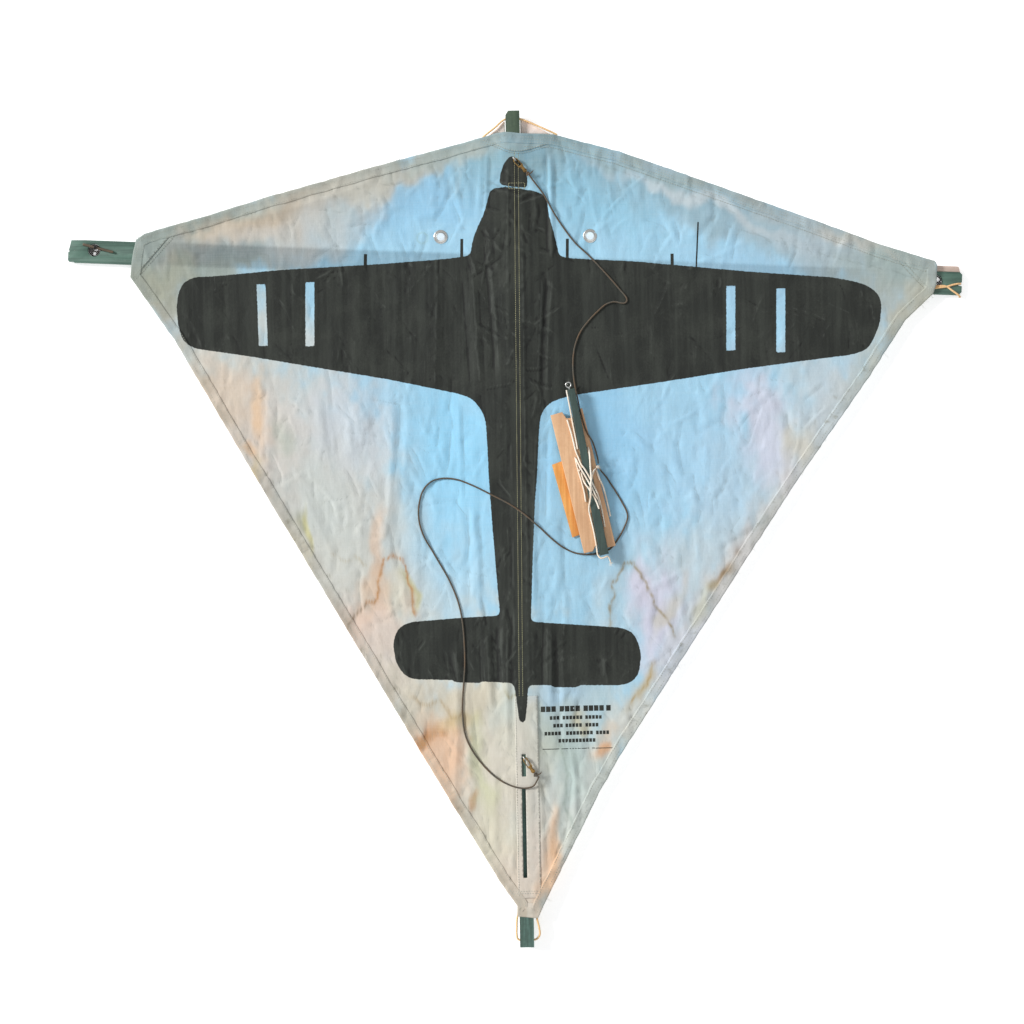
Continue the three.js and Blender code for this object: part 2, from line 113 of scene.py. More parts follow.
def value_noise(x: np.ndarray, y: np.ndarray, cell: Point, seed: int,
                octaves: int = 1) -> np.ndarray:
    """A smooth random field over the sail.

    Args:
        x, y: places in millimetres.
        cell: size of the coarsest lumps across and along, in millimetres.
        seed: which field.
        octaves: how many finer fields are added, each half as large and half as strong.

    Returns:
        The field's values, about -1 to 1.
    """
    total, strength = np.zeros(np.shape(x)), 1.0
    for octave in range(octaves):
        table = np.random.default_rng(seed + octave).uniform(-1, 1, (128, 128))
        gx = np.asarray(x) * 2 ** octave / cell[0] + 57.3
        gy = np.asarray(y) * 2 ** octave / cell[1] + 61.7
        ix, iy = np.floor(gx).astype(int), np.floor(gy).astype(int)
        fx, fy = smoothstep(0, 1, gx - ix), smoothstep(0, 1, gy - iy)
        rows = [table[(ix + a) % 128, (iy + b) % 128] for a in (0, 1) for b in (0, 1)]
        total += strength * ((rows[0] * (1 - fy) + rows[1] * fy) * (1 - fx)
                             + (rows[2] * (1 - fy) + rows[3] * fy) * fx)
        strength /= 2
    return total


def line_distance(x: np.ndarray, y: np.ndarray, line: Points, closed: bool) -> np.ndarray:
    """Distance from each place to a line, negative inside a closed one.

    Args:
        x, y: places in millimetres.
        line: the line's corners.
        closed: whether the last corner joins the first.

    Returns:
        Distances in millimetres.
    """
    corners = np.array(line, float)
    ends = np.roll(corners, -1, axis=0)
    if not closed:
        corners, ends = corners[:-1], ends[:-1]
    best, inside = np.full(np.shape(x), np.inf), np.zeros(np.shape(x), bool)
    for (ax, ay), (bx, by) in zip(corners, ends):
        dx, dy = bx - ax, by - ay
        t = np.clip(((x - ax) * dx + (y - ay) * dy) / (dx * dx + dy * dy + 1e-9), 0, 1)
        best = np.minimum(best, np.hypot(x - ax - t * dx, y - ay - t * dy))
        if closed and dy:
            crosses = (ay > y) != (by > y)
            inside ^= crosses & (x < ax + dx * (y - ay) / dy)
    return np.where(inside, -best, best)


def rounded(line: Points, cut: float) -> Points:
    """Cuts each corner of a closed outline, so that short chords become an arc.

    Args:
        line: the outline's corners.
        cut: the most that a corner loses along each side, in millimetres.

    Returns:
        An outline with twice the corners.
    """
    corners = [np.array(p, float) for p in line]
    result = []
    for here, after in zip(corners, corners[1:] + corners[:1]):
        length = np.linalg.norm(after - here)
        share = min(0.25, cut / max(length, 1e-6))
        result += [tuple(here + share * (after - here)), tuple(after - share * (after - here))]
    return result


def run_along(line: np.ndarray) -> np.ndarray:
    """How far along a line each of its points stands, from its first."""
    return np.concatenate([[0], np.cumsum(np.linalg.norm(np.diff(line, axis=0), axis=1))])


def evenly(points: Points, spacing: float) -> np.ndarray:
    """Places new points along a line at an even spacing.

    Args:
        points: the line's points, in two or three numbers each.
        spacing: the wanted distance between new points.

    Returns:
        The new points, first and last kept.
    """
    line = np.array(points, float)
    run = run_along(line)
    marks = np.linspace(0, run[-1], max(2, int(round(run[-1] / spacing)) + 1))
    return np.column_stack([np.interp(marks, run, line[:, k]) for k in range(line.shape[1])])


def smooth_path(points: Points, spacing: float) -> np.ndarray:
    """A centripetal curve through points, at an even spacing.

    Args:
        points: the route's points in three numbers each.
        spacing: the wanted distance between the curve's points.

    Returns:
        The curve's points.
    """
    p = np.array(points, float)
    p = np.vstack([2 * p[0] - p[1], p, 2 * p[-1] - p[-2]])
    dense = []
    for k in range(1, len(p) - 2):
        q = p[k - 1:k + 3]
        t = np.concatenate([[0], np.cumsum(np.linalg.norm(np.diff(q, axis=0), axis=1) ** 0.5)])
        s = np.linspace(t[1], t[2], 14, endpoint=False)[:, None]
        a = [((t[i + 1] - s) * q[i] + (s - t[i]) * q[i + 1]) / (t[i + 1] - t[i])
             for i in range(3)]
        b = [((t[i + 2] - s) * a[i] + (s - t[i]) * a[i + 1]) / (t[i + 2] - t[i])
             for i in range(2)]
        dense.append(((t[2] - s) * b[0] + (s - t[1]) * b[1]) / (t[2] - t[1]))
    return evenly(np.vstack([*dense, p[-2]]), spacing)


def grid_faces(rows: int, columns: int) -> list:
    """The four-sided faces of a grid of vertices that is stored row by row."""
    return [(i * columns + k, i * columns + k + 1, (i + 1) * columns + k + 1,
             (i + 1) * columns + k) for i in range(rows - 1) for k in range(columns - 1)]


def new_object(name: str, data: object) -> Piece:
    """Adds an object with its data to the scene. Returns it."""
    made = bpy.data.objects.new(name, data)
    bpy.context.scene.collection.objects.link(made)
    return made


def mesh_object(name: str, points: np.ndarray, faces: list) -> Piece:
    """Makes a smooth-shaded piece at the origin.

    Args:
        name: the piece's name.
        points: its vertices in millimetres.
        faces: its faces, as lists of vertex numbers.

    Returns:
        The new piece.
    """
    mesh = bpy.data.meshes.new(name)
    mesh.from_pydata((np.asarray(points) * MM).tolist(), [], [list(f) for f in faces])
    mesh.polygons.foreach_set("use_smooth", [True] * len(mesh.polygons))
    mesh.update()
    return new_object(name, mesh)


def only(made: Piece) -> None:
    """Selects one object and nothing else."""
    bpy.ops.object.select_all(action="DESELECT")
    made.select_set(True)
    bpy.context.view_layer.objects.active = made


def sweep_rings(path: np.ndarray, sections: np.ndarray) -> tuple[np.ndarray, list]:
    """Carries a closed section along a path without twisting it.

    Args:
        path: the path's points in millimetres.
        sections: for each point, the section's corners as sideways and upward offsets.

    Returns:
        The tube's vertices and faces, with both ends closed.
    """
    tangents = np.gradient(path, axis=0)
    tangents /= np.linalg.norm(tangents, axis=1)[:, None]
    up = np.array([0.0, 0.0, 1.0]) if abs(tangents[0][2]) < 0.9 else np.array([1.0, 0.0, 0.0])
    side = np.cross(tangents[0], up)
    side /= np.linalg.norm(side)
    vertices, count = [], sections.shape[1]
    for place, tangent, section in zip(path, tangents, sections):
        side = side - tangent * side.dot(tangent)
        side /= np.linalg.norm(side)
        lift = np.cross(side, tangent)
        vertices.append(place + section[:, :1] * side + section[:, 1:] * lift)
    faces = []
    for ring in range(len(path) - 1):
        a, b = ring * count, (ring + 1) * count
        faces += [(a + k, b + k, b + (k + 1) % count, a + (k + 1) % count)
                  for k in range(count)]
    last = (len(path) - 1) * count
    faces += [tuple(range(count)), tuple(reversed(range(last, last + count)))]
    return np.vstack(vertices), faces


def set_values(made: Piece, name: str, values: np.ndarray) -> None:
    """Stores a number on each vertex, for the piece's material.

    Args:
        made: the piece.
        name: the attribute's name.
        values: one number for each vertex.
    """
    made.data.attributes.new(name, "FLOAT", "POINT").data.foreach_set(
        "value", np.asarray(values, np.float32))


def set_colours(made: Piece, name: str, colours: np.ndarray) -> None:
    """Stores a linear colour on each vertex, for the piece's material.

    Args:
        made: the piece.
        name: the attribute's name.
        colours: three numbers for each vertex.
    """
    flat = np.column_stack([colours, np.ones(len(colours))]).astype(np.float32).ravel()
    made.data.attributes.new(name, "FLOAT_COLOR", "POINT").data.foreach_set("color", flat)


def places_of(made: Piece) -> np.ndarray:
    """The piece's vertices in millimetres."""
    flat = np.empty(len(made.data.vertices) * 3, np.float32)
    made.data.vertices.foreach_get("co", flat)
    return flat.reshape(-1, 3) / MM


# ------------------------------------------------------------------------ node shaders
class Shader:
    """A material under construction: its tree, its main shader and short node calls."""

    def __init__(self, tree: Tree) -> None:
        """Starts on a node tree.

        Args:
            tree: a material's or a group's tree.
        """
        self.tree = tree

    def node(self, kind: str, values: dict | None = None, **settings: object) -> Node:
        """Adds a node.

        Args:
            kind: the node's type, without its ShaderNode prefix.
            values: what each input holds: a number, a colour or another node's output.
            settings: the node's own properties.

        Returns:
            The new node.
        """
        made = self.tree.nodes.new("ShaderNode" + kind)
        for key, value in settings.items():
            setattr(made, key, value)
        return self.feed(made, values or {})

    def feed(self, made: Node, values: dict) -> Node:
        """Fills a node's inputs.

        Args:
            made: the node.
            values: what each input holds: a number, a colour or another node's output.

        Returns:
            The same node.
        """
        for key, value in values.items():
            if isinstance(value, Socket):
                self.tree.links.new(value, made.inputs[key])
            else:
                made.inputs[key].default_value = value
        return made

    def math(self, operation: str, a: object, b: object = 0.0) -> Socket:
        """One sum of two numbers, kept from 0 to 1 only where the sum does it itself."""
        return self.node("Math", {0: a, 1: b}, operation=operation).outputs[0]

    def ramp(self, value: object, low: float, high: float,
             to: tuple[float, float] = (0.0, 1.0)) -> Socket:
        """A smooth ramp of a number between two limits.

        Args:
            value: the number's socket.
            low, high: where the ramp starts and ends.
            to: what it gives there.

        Returns:
            The ramped number's socket.
        """
        return self.node("MapRange", {"Value": value, "From Min": low, "From Max": high,
                                      "To Min": to[0], "To Max": to[1]},
                         interpolation_type="SMOOTHSTEP").outputs["Result"]

    def mix(self, share: object, first: object, second: object,
            blend: str = "MIX") -> Socket:
        """Mixes two colours.

        Args:
            share: how much of the second one shows.
            first, second: colours or their sockets.
            blend: Blender's name of the way they mix.

        Returns:
            The mixed colour's socket.
        """
        a, b = [c if isinstance(c, Socket) else (*c, 1.0) for c in (first, second)]
        return self.node("Mix", {0: share, 6: a, 7: b}, data_type="RGBA",
                         blend_type=blend).outputs[2]

    def noise(self, vector: object, scale: float, detail: float = 2.0) -> Socket:
        """A noise number.

        Args:
            vector: where it is read.
            scale: lumps in a metre.
            detail: how many finer layers it has.

        Returns:
            The noise's socket.
        """
        return self.node("TexNoise", {"Vector": vector, "Scale": scale,
                                      "Detail": detail}).outputs["Fac"]

    def place(self, stretch: tuple[float, float, float] = (1, 1, 1)) -> Socket:
        """Object coordinates, stretched.

        Args:
            stretch: how much finer the pattern is along each axis.

        Returns:
            The coordinates' socket.
        """
        where = self.node("TexCoord").outputs["Object"]
        return self.node("Mapping", {"Vector": where, "Scale": stretch}).outputs["Vector"]

    def bump(self, height: object, strength: float, depth: float) -> Socket:
        """A bump normal.

        Args:
            height: the height's socket.
            strength: how much of it shows.
            depth: its full height in metres.

        Returns:
            The normal's socket.
        """
        return self.node("Bump", {"Height": height, "Strength": strength,
                                  "Distance": depth}).outputs["Normal"]

    def group(self, tree: Tree, values: dict) -> Node:
        """Places a shared effect in this tree.

        Args:
            tree: the effect's group.
            values: what each of its inputs holds.

        Returns:
            The group's node.
        """
        made = self.tree.nodes.new("ShaderNodeGroup")
        made.node_tree = tree
        return self.feed(made, values)


def blank_material(name: str) -> tuple[Material, Shader, Node]:
    """Starts a material with its main shader.

    Args:
        name: the material's name.

    Returns:
        The material, its shader builder and its Principled node.
    """
    material = bpy.data.materials.new(name)
    material.use_nodes = True
    build = Shader(material.node_tree)
    main = next(n for n in material.node_tree.nodes if n.type == "BSDF_PRINCIPLED")
    return material, build, main


def new_group(name: str, inputs: dict[str, object], outputs: list[str]
              ) -> tuple[Tree, Shader, dict, Node]:
    """Starts a shared effect.

    Args:
        name: the group's name.
        inputs: each input's name and default: a number, or three for a vector.
        outputs: each output's name; one that ends in Colour is a colour.

    Returns:
        The group, its builder, its inputs' sockets by name and its output node.
    """
    tree = bpy.data.node_groups.new(name, "ShaderNodeTree")
    for key, value in inputs.items():
        kind = "NodeSocketVector" if isinstance(value, tuple) else "NodeSocketFloat"
        made = tree.interface.new_socket(key, in_out="INPUT", socket_type=kind)
        made.default_value = value
    for key in outputs:
        kind = "NodeSocketColor" if key.endswith("Colour") else "NodeSocketFloat"
        tree.interface.new_socket(key, in_out="OUTPUT", socket_type=kind)
    build = Shader(tree)
    start = tree.nodes.new("NodeGroupInput")
    end = tree.nodes.new("NodeGroupOutput")
    return tree, build, {s.name: s for s in start.outputs if s.name}, end


class Effects:
    """The shared effects: each is a node group built once."""

    def __init__(self) -> None:
        """Builds every effect."""
        self.grain = self.make_grain()
        self.weave = self.make_weave()
        self.grime = self.make_grime()
        self.fibres = self.make_fibres()

    @staticmethod
    def make_grain() -> Tree:
        """Wood grain: long streaks with finer pores. Returns the group."""
        tree, build, given, end = new_group(
            "wood_grain", {"Place": (0.0, 0.0, 0.0), "Streaks": 90.0}, ["Mask", "Height"])
        streak = build.node("TexNoise", {"Vector": given["Place"], "Scale": given["Streaks"],
                                         "Detail": 5.0, "Distortion": 0.4}).outputs["Fac"]
        pores = build.noise(given["Place"], build.math("MULTIPLY", given["Streaks"], 5.0))
        mask = build.ramp(streak, 0.36, 0.66)
        height = build.math("ADD", build.math("MULTIPLY", mask, 0.6),
                            build.math("MULTIPLY", pores, 0.4))
        build.feed(end, {"Mask": mask, "Height": height})
        return tree

    @staticmethod
    def make_weave() -> Tree:
        """Plain weave: crossing threads with uneven thickness. Returns the group."""
        tree, build, given, end = new_group(
            "plain_weave", {"Place": (0.0, 0.0, 0.0), "Threads": 1100.0}, ["Height", "Slub"])
        waves = []
        for direction in ("X", "Y"):
            waves.append(build.node("TexWave", {
                "Vector": given["Place"], "Scale": given["Threads"], "Distortion": 0.6,
                "Detail": 1.0, "Detail Scale": 0.4},
                bands_direction=direction).outputs["Fac"])
        height = build.math("MAXIMUM", waves[0], waves[1])
        slub = [build.noise(build.node("Mapping", {"Vector": given["Place"],
                                                   "Scale": stretch}).outputs["Vector"], 9.0, 3.0)
                for stretch in ((60.0, 2.0, 1.0), (2.0, 60.0, 1.0))]
        both = build.math("MULTIPLY", build.math("ADD", slub[0], slub[1]), 0.5)
        build.feed(end, {"Height": height, "Slub": both})
        return tree

    @staticmethod
    def make_grime() -> Tree:
        """Grime: broad patches broken up by fine specks. Returns the group."""
        tree, build, given, end = new_group(
            "grime", {"Place": (0.0, 0.0, 0.0), "Patches": 14.0, "Amount": 0.5}, ["Mask"])
        broad = build.noise(given["Place"], given["Patches"], 4.0)
        fine = build.noise(given["Place"], build.math("MULTIPLY", given["Patches"], 12.0), 3.0)
        both = build.math("ADD", build.math("MULTIPLY", broad, 0.7),
                          build.math("MULTIPLY", fine, 0.3))
        mask = build.math("MULTIPLY", build.ramp(both, 0.42, 0.68), given["Amount"])
        build.feed(end, {"Mask": mask})
        return tree

    @staticmethod
    def make_fibres() -> Tree:
        """Loose fibres on a cord: fine lint and a slow change of shade. Returns the group."""
        tree, build, given, end = new_group(
            "cord_fibres", {"Place": (0.0, 0.0, 0.0)}, ["Lint", "Shade"])
        lint = build.noise(given["Place"], 2600.0, 3.0)
        shade = build.noise(given["Place"], 45.0, 3.0)
        build.feed(end, {"Lint": lint, "Shade": build.ramp(shade, 0.3, 0.7)})
        return tree


@dataclass(frozen=True)
class Finish:
    """A finish: each kind fills its own material.

    Attributes:
        name: the material's name.
    """

    name: str

    def make(self, effects: Effects) -> Material:
        """Builds the material.

        Args:
            effects: the shared effects.

        Returns:
            The material.
        """
        material, build, main = blank_material(self.name)
        build.feed(main, self.inputs(build, effects))
        return material


@dataclass(frozen=True)
class WoodFinish(Finish):
    """Wood, painted or bare.

    Attributes:
        colour, dark: the face's colour and that of its streaks.
        bare: what shows where the finish has chipped.
        chips: how much has chipped, 0 to 1.
        along: the axis that the grain runs along.
        gloss: the roughness.
        streak: how strongly the streaks show.
        far_colour: the colour towards the tail end, or None for one colour throughout.
    """

    colour: tuple
    dark: tuple
    bare: tuple
    chips: float
    along: str
    gloss: float
    streak: float = 0.5
    far_colour: tuple | None = None

    def inputs(self, build: Shader, effects: Effects) -> dict:
        """Works out what the main shader's inputs hold.

        Args:
            build: the material's shader builder.
            effects: the shared effects.

        Returns:
            Each input's value or socket, by the input's name.
        """
        stretch = {"X": (0.06, 1.0, 1.0), "Y": (1.0, 0.06, 1.0)}[self.along]
        grain = build.group(effects.grain, {"Place": build.place(stretch), "Streaks": 160.0})
        grime = build.group(effects.grime, {"Place": build.place(), "Patches": 16.0,
                                            "Amount": 0.45})
        face = linear(*self.colour)
        if self.far_colour:
            length = build.node("SeparateXYZ", {"Vector": build.place()}).outputs["Y"]
            face = build.mix(build.ramp(length, 0.5, -0.5), face, linear(*self.far_colour))
        colour = build.mix(build.math("MULTIPLY", grain.outputs["Mask"], self.streak),
                           face, linear(*self.dark))
        colour = build.mix(grime.outputs["Mask"], colour, linear(*self.dark))
        chip_place = build.noise(build.place(), 210.0, 5.0)
        chipped = build.ramp(chip_place, 0.78 - 0.3 * self.chips, 0.80 - 0.3 * self.chips)
        wood = build.mix(grain.outputs["Mask"], linear(*self.bare),
                         tuple(0.7 * c for c in linear(*self.bare)))
        colour = build.mix(chipped, colour, wood)
        height = build.math("SUBTRACT", grain.outputs["Height"],
                            build.math("MULTIPLY", chipped, 0.8))
        rough = build.ramp(grime.outputs["Mask"], 0, 1, (self.gloss, self.gloss + 0.2))
        return {"Base Color": colour, "Roughness": rough,
                "Normal": build.bump(height, 0.5, 0.0002)}


@dataclass(frozen=True)
class MetalFinish(Finish):
    """Small metal hardware, dulled by handling.

    Attributes:
        colour: the metal's colour.
        tarnish: the colour of its tarnish.
        amount: how much tarnish there is, 0 to 1.
        gloss: the roughness of the clean metal.
    """

    colour: tuple
    tarnish: tuple
    amount: float
    gloss: float

    def inputs(self, build: Shader, effects: Effects) -> dict:
        """Works out what the main shader's inputs hold.

        Args:
            build: the material's shader builder.
            effects: the shared effects.

        Returns:
            Each input's value or socket, by the input's name.
        """
        grime = build.group(effects.grime, {"Place": build.place(), "Patches": 190.0,
                                            "Amount": self.amount})
        scratches = build.noise(build.place((1.0, 0.1, 1.0)), 2400.0, 3.0)
        colour = build.mix(grime.outputs["Mask"], linear(*self.colour), linear(*self.tarnish))
        rough = build.math("ADD", build.math("MULTIPLY", grime.outputs["Mask"], 0.35),
                           build.ramp(scratches, 0.3, 0.7, (self.gloss, self.gloss + 0.12)))
        metal = build.ramp(grime.outputs["Mask"], 0.0, 1.0, (1.0, 0.55))
        return {"Base Color": colour, "Roughness": rough, "Metallic": metal,
                "Normal": build.bump(scratches, 0.25, 0.00005)}


@dataclass(frozen=True)
class CordFinish(Finish):
    """Twisted cord.

    Attributes:
        colour, shade: the cord's lighter and darker colours.
        lint: how strongly loose fibres show.
    """

    colour: tuple
    shade: tuple
    lint: float = 0.5

    def inputs(self, build: Shader, effects: Effects) -> dict:
        """Works out what the main shader's inputs hold.

        Args:
            build: the material's shader builder.
            effects: the shared effects.

        Returns:
            Each input's value or socket, by the input's name.
        """
        fibres = build.group(effects.fibres, {"Place": build.place()})
        colour = build.mix(fibres.outputs["Shade"], linear(*self.colour), linear(*self.shade))
        colour = build.mix(build.math("MULTIPLY", fibres.outputs["Lint"], self.lint), colour,
                           tuple(min(1.0, 1.35 * c) for c in linear(*self.colour)))
        return {"Base Color": colour, "Roughness": 0.85, "Sheen Weight": 0.25,
                "Normal": build.bump(fibres.outputs["Lint"], 0.6, 0.0002)}


@dataclass(frozen=True)
class ClothFinish(Finish):
    """Printed cotton. Its pieces carry the attributes dye_and_shading, print and crease.

    Attributes:
        ink, ink_worn: the print's colour, and where folds have rubbed it.
    """

    ink: tuple
    ink_worn: tuple

    def inputs(self, build: Shader, effects: Effects) -> dict:
        """Works out what the main shader's inputs hold.

        Args:
            build: the material's shader builder.
            effects: the shared effects.

        Returns:
            Each input's value or socket, by the input's name.
        """
        # Stored colours: the cloth's own, with painted shade over the spar and along some folds.
        dye_and_shading = build.node("Attribute", {}, attribute_name="dye_and_shading").outputs["Color"]
        print_edge = build.node("Attribute", {}, attribute_name="print").outputs["Fac"]
        crease = build.node("Attribute", {}, attribute_name="crease").outputs["Fac"]
        place = build.place()
        weave = build.group(effects.weave, {"Place": place, "Threads": 330.0})
        grime = build.group(effects.grime, {"Place": place, "Patches": 22.0, "Amount": 1.0})
        mottle = build.noise(place, 70.0, 5.0)
        cloth = build.mix(build.ramp(mottle, 0.3, 0.7, (0.0, 0.16)), dye_and_shading,
                          linear(255, 250, 240), "MULTIPLY")
        cloth = build.mix(build.ramp(weave.outputs["Slub"], 0.42, 0.6, (0.0, 0.04)), cloth,
                          linear(250, 250, 250))
        # Painted shade: the cloth darkens in the hollows of its folds.
        cloth = build.mix(build.ramp(crease, 0.2, 1.5, (0.0, 0.36)), cloth,
                          linear(110, 118, 112))
        fleck = build.noise(place, 420.0, 4.0)
        streaks = build.noise(build.place((1.0, 0.05, 1.0)), 95.0, 4.0)
        ink = build.mix(build.ramp(streaks, 0.35, 0.7, (0.0, 0.5)), linear(*self.ink),
                        linear(*self.ink_worn))
        ink = build.mix(build.math("MULTIPLY", grime.outputs["Mask"], 0.25), ink,
                        linear(74, 78, 70))
        ink = build.mix(build.ramp(crease, -0.2, -1.0, (0.0, 0.3)), ink, linear(92, 96, 90))
        # Painted shade: the ink darkens in the hollows of its folds.
        ink = build.mix(build.ramp(crease, 0.15, 0.9, (0.0, 0.7)), ink, linear(14, 15, 13))
        ink = build.mix(build.ramp(fleck, 0.68, 0.78, (0.0, 0.18)), ink, linear(110, 114, 108))
        wobble = build.ramp(build.noise(place, 240.0, 3.0), 0.2, 0.8, (-0.5, 0.5))
        edge = build.math("ADD", print_edge, wobble)
        inked = build.ramp(edge, 0.55, -0.55)
        behind = build.node("NewGeometry").outputs["Backfacing"]
        shown = build.math("MULTIPLY", inked, build.ramp(behind, 0.0, 1.0, (1.0, 0.72)))
        height = build.math("ADD", build.math("MULTIPLY", weave.outputs["Height"], 0.1),
                            build.noise(build.place((1.0, 0.6, 1.0)), 190.0, 4.0))
        return {"Base Color": build.mix(shown, cloth, ink), "Sheen Weight": 0.15,
                "Roughness": build.ramp(inked, 0, 1, (0.88, 0.70)),
                "Specular IOR Level": 0.3, "Normal": build.bump(height, 0.55, 0.0009)}


# --------------------------------------------------------------------- the sail's form
@dataclass(frozen=True)
class Fold:
    """A long crease in the sail.

    Attributes:
        start, end: its two ends.
        rise: its height, negative for a furrow.
        flank: how far its sides reach.
        bow: how far its middle stands off the straight line.
    """

    start: Point
    end: Point
    rise: float
    flank: float
    bow: float = 0.0


FOLDS = [Fold(*row) for row in (
    ((-466, 592), (-622, 530), -3.0, 13, 6), ((-230, 640), (-520, 560), 2.2, 12, 8),
    ((-46, 692), (-52, 560), 2.4, 4), ((-56, 694), (-66, 548), 1.8, 4.5),
    ((-62, 560), (-40, 250), -2.6, 5, 4), ((-80, 500), (-66, 240), 2.2, 6),
    ((-140, 488), (-150, 230), 1.8, 8), ((-98, 478), (-84, 236), -1.6, 6),
    ((-210, 470), (-236, 250), 1.2, 12, 6), ((-300, 480), (-318, 282), -1.2, 14),
    ((-226, 262), (-250, -50), 3.4, 11, 9), ((-212, 262), (-232, 60), -2.4, 9, 6),
    ((-450, 270), (-452, 70), 2.2, 10), ((-106, 240), (-104, 40), 2.0, 4),
    ((-120, 190), (-128, 100), -1.8, 4), ((-78, 40), (-74, -160), 2.0, 4.5),
    ((-92, 60), (-94, -150), -1.6, 5), ((-287, -60), (-286, -158), -2.2, 4, -5),
    ((60, 694), (58, 480), -3.2, 4), ((67, 694), (66, 470), 2.4, 5),
    ((62, 480), (44, 220), -3.0, 6, -6), ((50, 470), (34, 210), 2.0, 6),
    ((84, 690), (420, 540), 2.8, 15, 8), ((94, 672), (480, 520), -2.6, 14, 10),
    ((200, 640), (700, 452), 2.6, 13, -8), ((330, 560), (735, 440), -3.0, 12, -8),
    ((440, 545), (690, 470), 2.0, 9), ((676, 456), (748, 424), -2.6, 6),
    ((34, 200), (22, -160), 2.6, 5, -3), ((52, 190), (46, -10), -2.2, 6),
    ((70, 190), (62, -160), 2.0, 7, 3), ((60, 40), (82, -165), 1.8, 6),
    ((40, -150), (34, -300), -3.2, 5), ((52, -170), (50, -330), 2.4, 5),
    ((62, -180), (66, -420), -2.6, 6), ((22, -260), (34, -660), 2.2, 4),
    ((-26, -160), (-30, -420), 2.8, 5), ((-46, -165), (-42, -300), -2.6, 5),
    ((-64, -170), (-58, -330), 2.6, 6), ((-76, -190), (-76, -300), -2.0, 5),
    ((-120, -170), (-128, -500), 2.8, 8, 5), ((-20, -430), (-22, -650), 2.0, 4),
    ((-52, -420), (-54, -600), 1.6, 6), ((-100, -330), (-96, -520), 1.6, 9),
    ((82, -390), (88, -560), 2.6, 6, 6), ((88, -430), (66, -600), -2.0, 6),
    ((420, 250), (392, 120), 1.6, 14), ((466, 230), (500, 150), -1.8, 9),
    ((300, 250), (470, 180), 1.2, 6), ((500, 220), (560, 60), 1.6, 12),
    ((250, 170), (330, 20), 1.3, 12), ((320, 60), (280, -80), 1.4, 10),
    ((440, 90), (380, -60), 1.4, 12), ((160, 150), (240, 20), -1.2, 10),
    ((230, -40), (300, -180), 1.4, 9), ((330, -60), (330, -150), 1.2, 8),
    ((-360, 240), (-330, 60), 1.4, 12), ((-300, 240), (-330, 130), -1.2, 8),
    ((-400, 100), (-330, -60), 1.4, 10), ((-520, 250), (-480, 120), 1.4, 12),
    ((-220, -20), (-205, -150), 1.6, 8), ((-180, 60), (-190, -120), 1.2, 10),
    ((-10, 690), (-16, 330), 1.2, 3), ((14, 680), (10, -300), 0.9, 3),
)]


